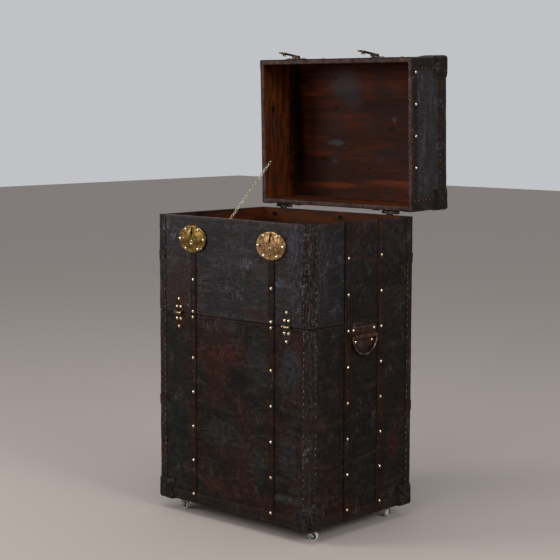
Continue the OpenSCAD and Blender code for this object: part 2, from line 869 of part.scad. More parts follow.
// a front hinge leaf above the seam, with knuckles where they are listed
module front_leaf(knuckles) {
    difference() {
        union() {
            box([front_hinge_x - front_hinge_w / 2, -leaf_t, seam_z + hinge_patch_from],
                [front_hinge_x + front_hinge_w / 2, 0, seam_z + front_leaf_h]);
            for (k = knuckles)
                translate([front_hinge_x + k[0] - k[1] / 2, 0, seam_z]) rotate([90, 0, 90])
                    linear_extrude(k[1]) front_knuckle_outline();
        }
        translate([front_hinge_x, front_axis_y, seam_z])
            along_x(0, front_pin_r + pin_clear, front_hinge_w + 2 * over);
    }
}

front_side_at = (front_hinge_w - front_mid_w) / 2;
front_outer_knuckles = [[-front_side_at, front_mid_w], [front_side_at, front_mid_w]];

module front_hinge_upper_patches() {
    color(trim) in_frame() left_and_right() hinge_patch();
}

module front_hinge_lower_patches() {
    color(trim) in_frame() translate([0, 0, 2 * seam_z]) mirror([0, 0, 1])
        left_and_right() hinge_patch();
}

module front_hinge_upper_leaves() {
    color(brass) in_frame() left_and_right() front_leaf(front_outer_knuckles);
}

module front_hinge_lower_leaves() {
    color(brass) in_frame() translate([0, 0, 2 * seam_z]) mirror([0, 0, 1])
        left_and_right() front_leaf([[0, front_mid_w]]);
}

module pin(width, r, head_r) {
    head_t = 0.9;
    along_x(0, r, width + 2 * knuckle_gap + head_t);
    for (end = [-1, 1])
        along_x(end * (width / 2 + knuckle_gap + head_t / 2), head_r, head_t);
}

module hinge_pins() {
    color(brass) in_frame() left_and_right() {
        translate([front_hinge_x, front_axis_y, seam_z])
            pin(front_hinge_w, front_pin_r, front_pin_r + 1);
        translate([back_hinge_x, back_axis_y, back_axis_z])
            pin(back_hinge_w, back_pin_r, back_pin_r + 1.2);
    }
}

// Back hinges

back_side_w = (back_hinge_w - back_knuckle_w) / 2 - knuckle_gap;
back_side_at = (back_hinge_w - back_side_w) / 2;
leaf_clear = 0.4;

module back_hinge_body_leaves() {
    color(steel) in_frame() left_and_right() difference() {
        union() {
            box([back_hinge_x - back_hinge_w / 2, trunk_d, rim_z - back_leaf_h],
                [back_hinge_x + back_hinge_w / 2, trunk_d + leaf_t, rim_z - 1]);
            box([back_hinge_x - back_knuckle_w / 2, trunk_d + leaf_clear, rim_z - 3],
                [back_hinge_x + back_knuckle_w / 2, trunk_d + leaf_clear + leaf_t, back_axis_z]);
            translate([back_hinge_x, back_axis_y, back_axis_z])
                along_x(0, back_knuckle_r, back_knuckle_w);
        }
        translate([back_hinge_x, back_axis_y, back_axis_z])
            along_x(0, back_pin_r + pin_clear, back_hinge_w);
    }
}

module back_hinge_lid_leaves() {
    leaf_low = back_axis_z + back_knuckle_r + 1;
    color(steel) in_frame() lid_open() left_and_right() difference() {
        union() {
            box([back_hinge_x - back_hinge_w / 2, trunk_d, leaf_low],
                [back_hinge_x + back_hinge_w / 2, trunk_d + leaf_t, leaf_low + back_leaf_h]);
            for (side = [-1, 1]) {
                x = back_hinge_x + side * back_side_at;
                box([x - back_side_w / 2, trunk_d, back_axis_z],
                    [x + back_side_w / 2, trunk_d + leaf_t, leaf_low + over]);
                translate([x, back_axis_y, back_axis_z]) along_x(0, back_knuckle_r, back_side_w);
            }
        }
        translate([back_hinge_x, back_axis_y, back_axis_z])
            along_x(0, back_pin_r + pin_clear, back_hinge_w + 2 * over);
    }
}

// Lid

module lid_top_board() {
    color(wood) in_frame() lid_open() box([-board_x, skin_t, lid_top - skin_t - board_t],
        [board_x, trunk_d - skin_t, lid_top - skin_t]);
}

module lid_front_board() {
    color(wood) in_frame() lid_open() box([-board_x, skin_t, lid_rim + turn_t],
        [board_x, front_in, lid_top - skin_t - board_t]);
}

module lid_back_board() {
    color(wood) in_frame() lid_open() box([-board_x, back_in, lid_rim + turn_t],
        [board_x, trunk_d - skin_t, lid_top - skin_t - board_t]);
}

module lid_side_board() {
    box([in_x, front_in, lid_rim + turn_t], [board_x, back_in, lid_top - skin_t - board_t]);
}

module lid_left_board() {
    color(wood) in_frame() lid_open() difference() {
        mirror([1, 0, 0]) lid_side_board();
        lid_screw_place() chain_screw_hole();
    }
}

module lid_right_board() {
    color(wood) in_frame() lid_open() lid_side_board();
}

module lid_leather() {
    color(leather) in_frame() lid_open() difference() {
        box([-out_x, 0, lid_rim], [out_x, trunk_d, lid_top]);
        box([-board_x, skin_t, lid_rim + turn_t], [board_x, trunk_d - skin_t, lid_top - skin_t]);
        cavity(lid_rim - over, lid_top - skin_t - board_t);
    }
}

module lid_strap_cuts() {
    left_and_right() box([strap_x - strap_w / 2, -2 * strap_t, lid_rim - over],
        [strap_x + strap_w / 2, trunk_d + 2 * strap_t, lid_top + 2 * strap_t]);
}

module lid_binding_shape() {
    t = binding_t;
    difference() {
        union() {
            left_and_right() {
                edge_wrap(lid_rim, lid_top + t, lid_binding_w, t);
                rear_edge_wrap(lid_rim, lid_top + t, lid_binding_w, t);
            }
            box([-out_x - t, -t, lid_top - lid_binding_w], [out_x + t, trunk_d + t, lid_top + t]);
            box([-out_x - t, -t, lid_rim],
                [out_x + t, trunk_d - lid_binding_w, lid_rim + lid_rim_band_w]);
        }
        box([-out_x, 0, lid_rim - over], [out_x, trunk_d, lid_top]);
        box([-out_x + lid_binding_w, lid_binding_w, lid_top - over],
            [out_x - lid_binding_w, trunk_d - lid_binding_w, lid_top + 2 * t]);
        lid_strap_cuts();
    }
}

module lid_edge_bindings() {
    color(trim) in_frame() lid_open() lid_binding_shape();
}

module lid_top_corner() {
    translate([-out_x - cap_out, -cap_out, lid_top + cap_out]) mirror([0, 0, 1])
        round_corner(cap_l + cap_out, cap_r);
}

module lid_corner_caps() {
    color(trim) in_frame() lid_open() difference() {
        left_and_right() {
            lid_top_corner();
            translate([0, trunk_d, 0]) mirror([0, 1, 0]) lid_top_corner();
        }
        box([-out_x, 0, lid_rim], [out_x, trunk_d, lid_top]);
        lid_binding_shape();
    }
}

module lid_straps() {
    color(trim) in_frame() lid_open() left_and_right() difference() {
        box([strap_x - strap_w / 2, -strap_t, lid_rim],
            [strap_x + strap_w / 2, trunk_d + strap_t, lid_top + strap_t]);
        box([0, 0, lid_rim - over], [out_x, trunk_d, lid_top]);
    }
}

lid_stud_count = floor((trunk_d - 2 * cap_l) / front_stud_step) + 1;
lid_stud_first = (trunk_d - (lid_stud_count - 1) * front_stud_step) / 2;
rim_stud_count = floor((trunk_d - cap_l - rim_stud_front) / rim_stud_step) + 1;

module lid_studs() {
    color(brass) in_frame() lid_open() left_and_right() {
        for (i = [0 : lid_stud_count - 1])
            translate([strap_x, lid_stud_first + i * front_stud_step, lid_top + strap_t]) stud();
        facing_front(strap_x, lid_top - rim_stud_up - stud_d, strap_t) stud();
        facing_back(strap_x, lid_rim + rim_stud_up, strap_t) stud();
        for (i = [0 : rim_stud_count - 1])
            facing_right(rim_stud_front + i * rim_stud_step, lid_rim + rim_stud_up, binding_t) stud();
        for (x = [-hasp_w / 4, hasp_w / 4])
            facing_front(strap_x + x, hasp_axis_z + hasp_rivet_up, strap_t + hasp_base_t) hasp_rivet();
    }
}

// Hasps

hasp_base_t = 1.5;
// heights of the plates' tops and of their rivets above the axis
hasp_base_up = 27;
hasp_rivet_up = 20;
hasp_mid_w = 10;
hasp_side_w = (hasp_w + 4 - hasp_mid_w) / 2 - knuckle_gap;
hasp_side_at = (hasp_w + 4 - hasp_side_w) / 2;
hasp_pin_r = 1.4;

module hasp_rivet() {
    cylinder(r1 = 3, r2 = 2, h = 1.8);
}

module hasp_hinge_plates() {
    base_w = hasp_w + 4;
    color(dull_brass) in_frame() lid_open() left_and_right() {
        difference() {
            union() {
                box([strap_x - base_w / 2, -strap_t - hasp_base_t, hasp_axis_z + hasp_knuckle_r + 1],
                    [strap_x + base_w / 2, -strap_t, hasp_axis_z + hasp_base_up]);
                for (side = [-1, 1]) {
                    x = strap_x + side * hasp_side_at;
                    box([x - hasp_side_w / 2, hasp_axis_y + hasp_pin_r + 0.6, hasp_axis_z],
                        [x + hasp_side_w / 2, -strap_t, hasp_axis_z + hasp_knuckle_r + 2]);
                    translate([x, hasp_axis_y, hasp_axis_z]) along_x(0, hasp_knuckle_r, hasp_side_w);
                }
            }
            translate([strap_x, hasp_axis_y, hasp_axis_z])
                along_x(0, hasp_pin_r + pin_clear, base_w + 2 * over);
        }
        translate([strap_x, hasp_axis_y, hasp_axis_z])
            pin(base_w, hasp_pin_r, hasp_pin_r + 1);
    }
}

// the hasp lies flat over its lock plate here, with its staple in the slot
module hasp_shut() {
    neck = hasp_knuckle_r + 0.8;
    inner_y = hasp_axis_y - hasp_clear;
    staple_z = slot_z - hasp_axis_z;
    bolt_hole = bolt_h + 2 * bolt_clear + 0.4;
    translate([strap_x, hasp_axis_y, hasp_axis_z]) difference() {
        union() {
            along_x(0, hasp_knuckle_r, hasp_mid_w);
            box([-hasp_mid_w / 2, -hasp_clear - hasp_t, -neck - over],
                [hasp_mid_w / 2, -hasp_clear, 0]);
            box([-hasp_w / 2, -hasp_clear - hasp_t, -hasp_l + hasp_w / 2],
                [hasp_w / 2, -hasp_clear, -neck]);
            translate([0, -hasp_clear, -hasp_l + hasp_w / 2]) rotate([90, 0, 0])
                cylinder(r = hasp_w / 2, h = hasp_t);
            box([-staple_t / 2, -hasp_clear - over, staple_z - staple_l / 2],
                [staple_t / 2, plate_t - staple_end, staple_z + staple_l / 2]);
        }
        along_x(0, hasp_pin_r + pin_clear, hasp_w);
        box([-staple_t, plate_t - bolt_out - bolt_t - bolt_clear, staple_z - bolt_hole / 2],
            [staple_t, plate_t - bolt_out + bolt_clear, staple_z + bolt_hole / 2]);
    }
}

module hasp() {
    lid_open() translate([0, hasp_axis_y, hasp_axis_z]) rotate([-hasp_lift, 0, 0])
        translate([0, -hasp_axis_y, -hasp_axis_z]) hasp_shut();
}

module right_hasp() {
    color(dull_brass) in_frame() hasp();
}

module left_hasp() {
    color(dull_brass) in_frame() mirror([1, 0, 0]) hasp();
}

// Chain

// Each of the four runs has the same number of links, and one link lies between runs 2 and 3.
run_links = 6;
link_count = 4 * run_links + 1;
chain_screw_deep = 8;
chain_head_r = 3.6;
chain_box_z = rim_z - chain_box_down;
// the lid's screw, as it stands with the lid open
lid_screw_in = [chain_lid_y - back_axis_y, lid_rim + chain_lid_up - back_axis_z];
chord = [back_axis_y + lid_screw_in[0] * cos(open_angle) + lid_screw_in[1] * sin(open_angle)
    - chain_box_y,
    back_axis_z - lid_screw_in[0] * sin(open_angle) + lid_screw_in[1] * cos(open_angle)
    - chain_box_z];
link_pitch = (norm(chord) + 2 * chain_screw_r + link_gap) / link_count;
// from a link's middle to the middle of the wire at its end
link_end = (link_pitch + link_wire + link_gap) / 2;
first_link = link_end - chain_screw_r - link_wire / 2 - link_gap;

module box_screw_place() {
    translate([-in_x, chain_box_y, chain_box_z]) children();
}

module lid_screw_place() {
    translate([-in_x, chain_lid_y, lid_rim + chain_lid_up]) children();
}

module chain_screw_hole() {
    translate([-chain_screw_deep - 0.5, 0, 0]) rotate([0, 90, 0])
        cylinder(r = chain_screw_r + 0.1, h = chain_screw_deep + 0.5 + over);
}

// a screw whose shank carries the chain's end link between the wall and its head
module chain_screw() {
    head_at = chain_in + link_wire / 2 + 0.4;
    rotate([0, 90, 0]) {
        translate([0, 0, -chain_screw_deep])
            cylinder(r = chain_screw_r, h = chain_screw_deep + head_at + over);
        translate([0, 0, head_at]) cylinder(r1 = chain_head_r, r2 = chain_head_r - 1, h = 2);
    }
}

module chain_body_screw() {
    color(steel) in_frame() box_screw_place() chain_screw();
}

module chain_lid_screw() {
    color(steel) in_frame() lid_open() lid_screw_place() chain_screw();
}

// a link along Y that lies flat
module link() {
    straight = 2 * (link_end - link_r);
    for (end = [0, 180]) rotate([0, 0, end]) {
        translate([0, straight / 2, 0]) rotate_extrude(angle = 180)
            translate([link_r, 0]) circle(link_wire / 2);
        translate([link_r, 0, 0]) rotate([90, 0, 0])
            cylinder(r = link_wire / 2, h = straight, center = true);
    }
}

// a stretch of the chain, whose links stand upright and lie flat in turn
module links(first) {
    color(steel) in_frame() translate([chain_x, chain_box_y, chain_box_z])
        rotate([atan2(chord[1], chord[0]), 0, 0])
            for (i = [first : first + run_links - 1])
                translate([0, first_link + i * link_pitch, 0])
                    rotate([0, i % 2 == 0 ? 90 : 0, 0]) link();
}

module chain_run_1() {
    links(0);
}

module chain_run_2() {
    links(run_links);
}

module chain_run_3() {
    links(2 * run_links + 1);
}

module chain_run_4() {
    links(3 * run_links + 1);
}

floor_board();
back_board();
left_side_board();
right_side_board();
front_board();
body_leather();
body_edge_bindings();
body_corner_caps();
body_straps();
body_studs();
handle_loops();
castor_plates();
castor_screws();
back_hinge_body_leaves();
hinge_pins();
front_hinge_lower_patches();
front_hinge_lower_leaves();
chain_body_screw();
flap_board();
flap_left_wing();
flap_right_wing();
flap_leather();
flap_edge_bindings();
flap_straps();
flap_studs();
front_hinge_upper_patches();
front_hinge_upper_leaves();
lock_plates();
left_lock_bolt();
right_lock_bolt();
lid_top_board();
lid_front_board();
lid_back_board();
lid_left_board();
lid_right_board();
lid_leather();
lid_edge_bindings();
lid_corner_caps();
lid_straps();
lid_studs();
back_hinge_lid_leaves();
hasp_hinge_plates();
chain_lid_screw();
left_hasp();
right_hasp();
left_handle_ring();
right_handle_ring();
chain_run_1();
chain_run_2();
chain_run_3();
chain_run_4();
castor_fork_fr();
castor_fork_fl();
castor_fork_rr();
castor_fork_rl();
castor_wheel_fr();
castor_wheel_fl();
castor_wheel_rr();
castor_wheel_rl();
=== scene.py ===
"""The looks of an old leather-covered trunk on castors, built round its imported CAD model.

Places are worked out in millimetres in the trunk's own frame: X from the middle, Y from the front
face towards the back, Z from the floor. The lid's pieces are drawn on the shut lid and then turned
to the open lid. Meshes are made in metres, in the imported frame.
"""

import sys

import json
import logging
import math
from dataclasses import dataclass
from enum import Enum
from functools import cache
from typing import Any, Iterable, Sequence

import bmesh
import bpy
import numpy as np
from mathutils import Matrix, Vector


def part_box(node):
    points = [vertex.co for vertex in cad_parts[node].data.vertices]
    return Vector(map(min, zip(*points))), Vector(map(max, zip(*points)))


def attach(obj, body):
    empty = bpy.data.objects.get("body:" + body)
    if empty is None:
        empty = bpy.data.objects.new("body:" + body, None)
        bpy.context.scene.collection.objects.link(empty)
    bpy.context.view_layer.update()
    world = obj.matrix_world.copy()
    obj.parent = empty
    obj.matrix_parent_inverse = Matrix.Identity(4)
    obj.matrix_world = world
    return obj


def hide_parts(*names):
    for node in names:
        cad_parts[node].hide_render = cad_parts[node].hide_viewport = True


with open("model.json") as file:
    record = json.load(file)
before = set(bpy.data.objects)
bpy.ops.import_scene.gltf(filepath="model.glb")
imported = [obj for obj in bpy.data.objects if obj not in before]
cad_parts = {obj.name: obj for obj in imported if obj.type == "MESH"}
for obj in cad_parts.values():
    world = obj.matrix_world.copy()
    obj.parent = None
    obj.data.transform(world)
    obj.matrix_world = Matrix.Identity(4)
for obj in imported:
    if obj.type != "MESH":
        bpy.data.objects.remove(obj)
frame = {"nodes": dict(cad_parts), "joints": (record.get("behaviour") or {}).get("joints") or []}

log = logging.getLogger("trunk")
MM = 0.001
Socket, NodeTree = bpy.types.NodeSocket, bpy.types.NodeTree
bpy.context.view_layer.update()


def joint(name: str) -> dict:
    """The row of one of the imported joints, by its name in the record."""
    return next(row for row in frame["joints"] if row["name"] == name)


@dataclass(frozen=True)
class TrunkSizes:
    """The trunk's main sizes in millimetres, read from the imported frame."""

    half: float
    depth: float
    front_y: float
    bottom: float
    rim: float
    seam_low: float
    seam_top: float
    wing: float
    lid_rim: float
    lid_top: float
    axis_y: float
    axis_z: float
    open_angle: float
    skin: float = 2.0
    board: float = 11.0
    turn: float = 1.2
    edge_radius: float = 4.0
    seam_gap: float = 2.0
    rim_gap: float = 0.5
    lid_height: float = 157.0

    @property
    def inner(self) -> float:
        """How far the boards' inner faces lie behind the leather's outer face."""
        return self.skin + self.board

    @property
    def ends(self) -> tuple:
        """The front and the back: the place on Y, and the way into the trunk."""
        return (0, (0, 1, 0)), (self.depth, (0, -1, 0))

    @classmethod
    def read(cls) -> "TrunkSizes":
        """Reads the sizes from the CAD nodes' boxes and the lid's joint.

        Returns:
            The sizes.
        """
        low, high = (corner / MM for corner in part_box("body_leather"))
        flap_low, flap_high = (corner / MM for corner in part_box("flap_leather"))
        axis = joint("lid_hinge")
        angle = math.radians(axis["range_deg"][1])
        axis_y, axis_z = axis["pos_m"][1] / MM - low.y, axis["pos_m"][2] / MM
        lid_rim = high.z + cls.rim_gap
        return cls(half=high.x, depth=high.y - low.y, front_y=low.y, bottom=low.z, rim=high.z,
                   seam_low=flap_low.z - cls.seam_gap, seam_top=flap_low.z,
                   wing=flap_high.y - low.y, lid_rim=lid_rim, lid_top=lid_rim + cls.lid_height,
                   axis_y=axis_y, axis_z=axis_z, open_angle=angle)


SIZE = TrunkSizes.read()


class Stand(Enum):
    """The two ways in which a piece stands: as drawn, or turned with the open lid."""

    BOX = "box"
    LID = "lid"

    def place(self, points: np.ndarray) -> np.ndarray:
        """Turns places of the trunk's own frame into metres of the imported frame.

        Args:
            points: places in millimetres, with X, Y and Z in the last axis.

        Returns:
            The same places in metres.
        """
        p = np.array(points, float)
        if self is Stand.LID:
            dy, dz = p[..., 1] - SIZE.axis_y, p[..., 2] - SIZE.axis_z
            cos, sin = math.cos(SIZE.open_angle), math.sin(SIZE.open_angle)
            p[..., 1] = SIZE.axis_y + dy * cos + dz * sin
            p[..., 2] = SIZE.axis_z - dy * sin + dz * cos
        p[..., 1] += SIZE.front_y
        return p * MM


class Face(Enum):
    """An outer face of the trunk, with its normal and the two directions along it."""

    FRONT = ((0, -1, 0), (1, 0, 0), (0, 0, 1))
    BACK = ((0, 1, 0), (1, 0, 0), (0, 0, 1))
    RIGHT = ((1, 0, 0), (0, 1, 0), (0, 0, 1))
    LEFT = ((-1, 0, 0), (0, 1, 0), (0, 0, 1))
    TOP = ((0, 0, 1), (1, 0, 0), (0, 1, 0))

    @classmethod
    def of_side(cls, side: int) -> "Face":
        """The left face for -1 and the right face for 1."""
        return cls.RIGHT if side > 0 else cls.LEFT

    @property
    def normal(self) -> np.ndarray:
        """The direction out of the face."""
        return np.array(self.value[0], float)

    def spot(self, across: float, up: float, out: float = 0.0) -> np.ndarray:
        """A place on the face.

        Args:
            across: X on the front, back and top, and Y on the sides.
            up: Z, or Y on the top.
            out: the distance from the leather.

        Returns:
            The place.
        """
        base = {Face.FRONT: (across, 0, up), Face.BACK: (across, SIZE.depth, up),
                Face.RIGHT: (SIZE.half, across, up), Face.LEFT: (-SIZE.half, across, up),
                Face.TOP: (across, up, SIZE.lid_top)}[self]
        return np.array(base, float) + self.normal * out


class Noise:
    """Smooth noise of places in space, from -1 to 1, that is the same each run."""

    def __init__(self, seed: int, cells: int = 24) -> None:
        """Draws the lattice of one noise from its seed."""
        self.lattice = np.random.default_rng(seed).uniform(-1, 1, (cells,) * 3)

    def at(self, points: np.ndarray, size: float) -> np.ndarray:
        """The noise's value at places.

        Args:
            points: places in millimetres.
            size: the width of the noise's cells in millimetres.

        Returns:
            One value per place.
        """
        q = np.asarray(points, float) / size
        cell = np.floor(q).astype(int)
        f = q - cell
        f = f * f * (3 - 2 * f)
        n = self.lattice.shape[0]
        out = 0.0
        for corner in np.ndindex(2, 2, 2):
            i = (cell + corner) % n
            share = np.prod(np.where(corner, f, 1 - f), axis=-1)
            out = out + share * self.lattice[i[..., 0], i[..., 1], i[..., 2]]
        return out


ROLL, DENT, CREASE, WOBBLE = Noise(11), Noise(12), Noise(13), Noise(14)
SUNK = 0.4  # how far leather that lies on the hide reaches into it


def smooth(value: np.ndarray, low: float, high: float) -> np.ndarray:
    """A smooth step from 0 at low to 1 at high."""
    t = np.clip((np.asarray(value, float) - low) / (high - low), 0, 1)
    return t * t * (3 - 2 * t)


def bump_at(value: np.ndarray, middle: float, width: float) -> np.ndarray:
    """A smooth bump of height 1 round a middle."""
    return np.exp(-((np.asarray(value, float) - middle) / width) ** 2)


@dataclass(frozen=True)
class Folds:
    """Where the hide is creased and crumpled, as the ranges over which this grows."""

    crease_heights: tuple[float, ...] = (112.0, 205.0, 318.0, 402.0, 498.0, 655.0, 742.0)
    right_x: tuple[float, float] = (192, 262)
    right_y: tuple[float, float] = (78, 14)
    right_z: tuple[float, float] = (420, 610)
    left_x: tuple[float, float] = (-236, -278)
    left_y: tuple[float, float] = (30, 4)
    left_share: float = 0.45


FOLDS = Folds()


def crumpled(points: np.ndarray) -> np.ndarray:
    """How crumpled the hide is, from 0 to 1: most beside the front right edge, high up.

    Args:
        points: places in the trunk's own frame.

    Returns:
        One share per place.
    """
    p = np.asarray(points, float)
    x, y, z = p[..., 0], p[..., 1], p[..., 2]
    corner = (smooth(x, *FOLDS.right_x) * smooth(y, *FOLDS.right_y)
              * (0.3 + 0.7 * smooth(z, *FOLDS.right_z)))
    left = FOLDS.left_share * smooth(x, *FOLDS.left_x) * smooth(y, *FOLDS.left_y)
    lid = smooth(z, SIZE.lid_rim - 1, SIZE.lid_rim)
    return np.maximum(corner, left) * (1 - lid)


def creases(points: np.ndarray) -> np.ndarray:
    """The soft level creases across the sides, from 0 to 1.

    Args:
        points: places in the trunk's own frame.

    Returns:
        One share per place.
    """
    p = np.asarray(points, float)
    side = smooth(np.abs(p[..., 0]), SIZE.half - 6, SIZE.half - 1)
    lines = np.zeros(p.shape[:-1])
    for i, height in enumerate(FOLDS.crease_heights):
        wave = height + 6 * np.sin(p[..., 1] / 47 + i * 1.7) + 5 * CREASE.at(p, 60)
        share = smooth(DENT.at(p + 31.0 * i, 90), -0.35, 0.3)
        lines = np.maximum(lines, bump_at(p[..., 2], wave, 3.4) * share)
    return lines * side


def swell(points: np.ndarray) -> np.ndarray:
    """How far the leather stands out from its CAD face, in millimetres.

    The hide lies in shallow rolls over the boards, is creased across the sides, and is crumpled
    beside the front right edge.

    Args:
        points: places on the flat faces, in the trunk's own frame.

    Returns:
        One height per place, from about -1.2 to 0.2.
    """
    p = np.asarray(points, float)
    rolls = 0.38 * ROLL.at(p, 95) + 0.22 * DENT.at(p, 31) + 0.07 * DENT.at(p, 12)
    folds = 1 - np.abs(CREASE.at(p * (1.0, 1.0, 0.62), 17)) * 2.4
    crumple = crumpled(p) * 0.95 * (np.clip(folds, -0.7, 1) - 0.35)
    return np.clip(rolls + crumple + 0.5 * creases(p) - 0.55, -1.5, 0.2)


class Draft:
    """Gathers the points and faces of one piece, in millimetres of the trunk's own frame."""

    def __init__(self) -> None:
        """Starts an empty piece."""
        self.points: list[np.ndarray] = []
        self.faces: list[Sequence[int]] = []
        self.wear: list[np.ndarray] = []
        self.soil: list[np.ndarray] = []
        self.count = 0

    def add(self, points: np.ndarray, faces: Iterable[Sequence[int]],
            wear: Any = 0.0, soil: Any = 0.0) -> None:
        """Adds points and faces.

        Args:
            points: the new points, one per row.
            faces: the faces, as numbers of the new points.
            wear: how rubbed each point is, from 0 to 1.
            soil: how dark each point is painted, from 0 to 1: painted shade along strap edges, in
                grooves and round stud feet, with some grime.
        """
        points = np.asarray(points, float).reshape(-1, 3)
        self.points.append(points)
        self.faces += [[i + self.count for i in face] for face in faces]
        for values, given in ((self.wear, wear), (self.soil, soil)):
            values.append(np.broadcast_to(np.asarray(given, float).ravel(), len(points)))
        self.count += len(points)

    def grid(self, points: np.ndarray, ring: bool = True, loop: bool = False,
             wear: Any = 0.0, soil: Any = 0.0) -> None:
        """Adds a closed skin swept from closed sections.

        Args:
            points: the sections' points, as (points of a section, sections, 3).
            ring: whether each section closes on itself.
            loop: whether the last section joins the first. If not, the ends are capped.
            wear: one value, or one per point.
            soil: one value, or one per point.
        """
        rows, columns = points.shape[:2]
        number = np.arange(rows * columns).reshape(rows, columns)
        down = np.roll(number, -1, axis=0) if ring else number[1:]
        top = number if ring else number[:-1]
        if loop:
            faces = np.stack([top, np.roll(top, -1, 1), np.roll(down, -1, 1), down], -1)
        else:
            faces = np.stack([top[:, :-1], top[:, 1:], down[:, 1:], down[:, :-1]], -1)
        ends = [] if loop or not ring else [list(number[:, 0]), list(number[::-1, -1])]
        self.add(points, faces.reshape(-1, 4).tolist() + ends, wear, soil)

    def slab(self, outer: Any, inner: Any, wear: Any = 0.0, soil: Any = 0.0) -> None:
        """Adds a closed slab between two sheets of points.

        Args:
            outer: the rows of the sheet that shows, of one point per column.
            inner: those of the sheet behind it.
            wear: one value, or one per point of the outer sheet.
            soil: one value, or one per point of the outer sheet.
        """
        outer, inner = np.asarray(outer), np.asarray(inner)
        rows, columns = outer.shape[:2]
        number = np.arange(rows * columns).reshape(rows, columns)
        front = np.stack([number[:-1, :-1], number[:-1, 1:], number[1:, 1:], number[1:, :-1]], -1)
        back = front[..., ::-1] + rows * columns
        rim = np.concatenate([number[0, :], number[1:, -1], number[-1, -2::-1], number[-2:0:-1, 0]])
        after = np.roll(rim, -1)
        edge = np.stack([after, rim, rim + rows * columns, after + rows * columns], -1)
        faces = np.concatenate([front.reshape(-1, 4), back.reshape(-1, 4), edge]).tolist()
        both = [np.concatenate([np.ravel(v)] * 2) if np.size(v) > 1 else v for v in (wear, soil)]
        self.add(np.concatenate([outer.reshape(-1, 3), inner.reshape(-1, 3)]), faces, *both)

    def copies(self, points: np.ndarray, faces: Sequence[Sequence[int]],
               places: Sequence[tuple[np.ndarray, np.ndarray]], soil: Any = 0.0) -> None:
        """Adds a small form at many places, each given by its axes (as columns) and origin."""
        for axes, origin in places:
            self.add(points @ np.asarray(axes).T + origin, faces, 0.0, soil)

    def make(self, name: str, finish: "Finish", body: str, nodes: Sequence[str] = (),
             stand: Stand = Stand.BOX, sharp: float = 40.0) -> bpy.types.Object:
        """Makes the piece's object and hangs it on its CAD body.

        Args:
            name: the piece's name.
            finish: what it is made of.
            body: the CAD body that it moves with.
            nodes: the CAD nodes that it stands for.
            stand: whether it is drawn on the box or on the shut lid.
            sharp: the angle in degrees above which an edge stays sharp.

        Returns:
            The new object.
        """
        points = np.concatenate(self.points)
        mesh = bpy.data.meshes.new(name)
        mesh.from_pydata(stand.place(points).tolist(), [], self.faces)
        folded = crumpled(points) if stand is Stand.BOX else np.zeros(self.count)
        for label, values in (("wear", self.wear), ("soil", self.soil), ("crumple", [folded])):
            layer = mesh.attributes.new(label, "FLOAT", "POINT")
            layer.data.foreach_set("value", np.concatenate(values).astype(np.float32))
        return finish_piece(name, mesh, finish, body, nodes, sharp)


def put(name: str, data: Any) -> bpy.types.Object:
    """Puts a new object into the scene.

    Args:
        name: its name.
        data: its mesh, lamp or camera.

    Returns:
        The object.
    """
    made = bpy.data.objects.new(name, data)
    bpy.context.scene.collection.objects.link(made)
    return made


def turn_outwards(mesh: bpy.types.Mesh) -> None:
    """Turns all faces of a closed mesh outwards.

    Args:
        mesh: the mesh.
    """
    work = bmesh.new()
    work.from_mesh(mesh)
    bmesh.ops.recalc_face_normals(work, faces=work.faces)
    work.to_mesh(mesh)
    work.free()


def finish_piece(name: str, mesh: bpy.types.Mesh, finish: "Finish", body: str,
                 nodes: Sequence[str], sharp: float) -> bpy.types.Object:
    """Cleans a mesh, gives it its material and hangs it on its CAD body.

    Args:
        name: the piece's name.
        mesh: its mesh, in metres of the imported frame.
        finish: what it is made of.
        body: the CAD body that it moves with.
        nodes: the CAD nodes that it stands for.
        sharp: the angle in degrees above which an edge stays sharp.

    Returns:
        The new object.
    """
    turn_outwards(mesh)
    mesh.shade_smooth()
    mesh.set_sharp_from_angle(angle=math.radians(sharp))
    mesh.materials.append(finish.material())
    piece = put(name, mesh)
    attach(piece, body)
    if nodes:
        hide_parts(*nodes)
    log.info("%s: %d faces on %s", name, len(mesh.polygons), body)
    return piece


def ring_faces(rings: int, count: int) -> list[list[int]]:
    """The faces between rings of points that lie over each other, and the face under the first.

    Args:
        rings: the number of rings.
        count: the number of points in each.

    Returns:
        The faces, as numbers of the points.
    """
    faces = []
    for low in range(0, (rings - 1) * count, count):
        for k in range(count):
            after = (k + 1) % count
            faces.append([low + k, low + after, low + count + after, low + count + k])
    return faces + [list(range(count))[::-1]]


def lathe(profile: Sequence[tuple[float, float]], count: int) -> tuple[np.ndarray, list]:
    """Turns a profile round Z into a closed form.

    Args:
        profile: (radius, height) from the bottom's edge to the top. A last radius of 0 closes it.
        count: the number of sides.

    Returns:
        The points and the faces.
    """
    angles = np.arange(count) * 2 * math.pi / count
    rings = [(r, h) for r, h in profile if r > 0]
    points = [(r * math.cos(a), r * math.sin(a), h) for r, h in rings for a in angles]
    faces = ring_faces(len(rings), count)
    last = (len(rings) - 1) * count
    if profile[-1][0] == 0:
        points.append((0.0, 0.0, profile[-1][1]))
        faces += [[last + k, last + (k + 1) % count, len(points) - 1] for k in range(count)]
    else:
        faces.append(list(range(last, last + count)))
    return np.array(points), faces


def axes_for(normal: Sequence[float], along: Sequence[float]) -> np.ndarray:
    """The axes, as columns, of a form whose Z is a normal and whose X lies along the face."""
    z, x = np.asarray(normal, float), np.asarray(along, float)
    return np.stack([x, np.cross(z, x), z], 1)


STUD = lathe([(4.75, -0.4), (4.75, 0.2), (4.5, 0.7), (4.2, 1.05), (3.75, 1.55), (3.0, 2.2),
              (2.1, 2.65), (1.0, 2.93), (0, 3.0)], 20)
# Painted shade round each stud's foot: darkest on the lowest rings, fading out up the dome.
STUD_FOOT_SHADE = np.array([1.0] * 60 + [0.7] * 20 + [0.3] * 20 + [0.0] * 61)
RIVET = lathe([(3.0, -0.3), (3.0, 0.5), (2.5, 1.2), (1.3, 1.7), (0, 1.8)], 14)


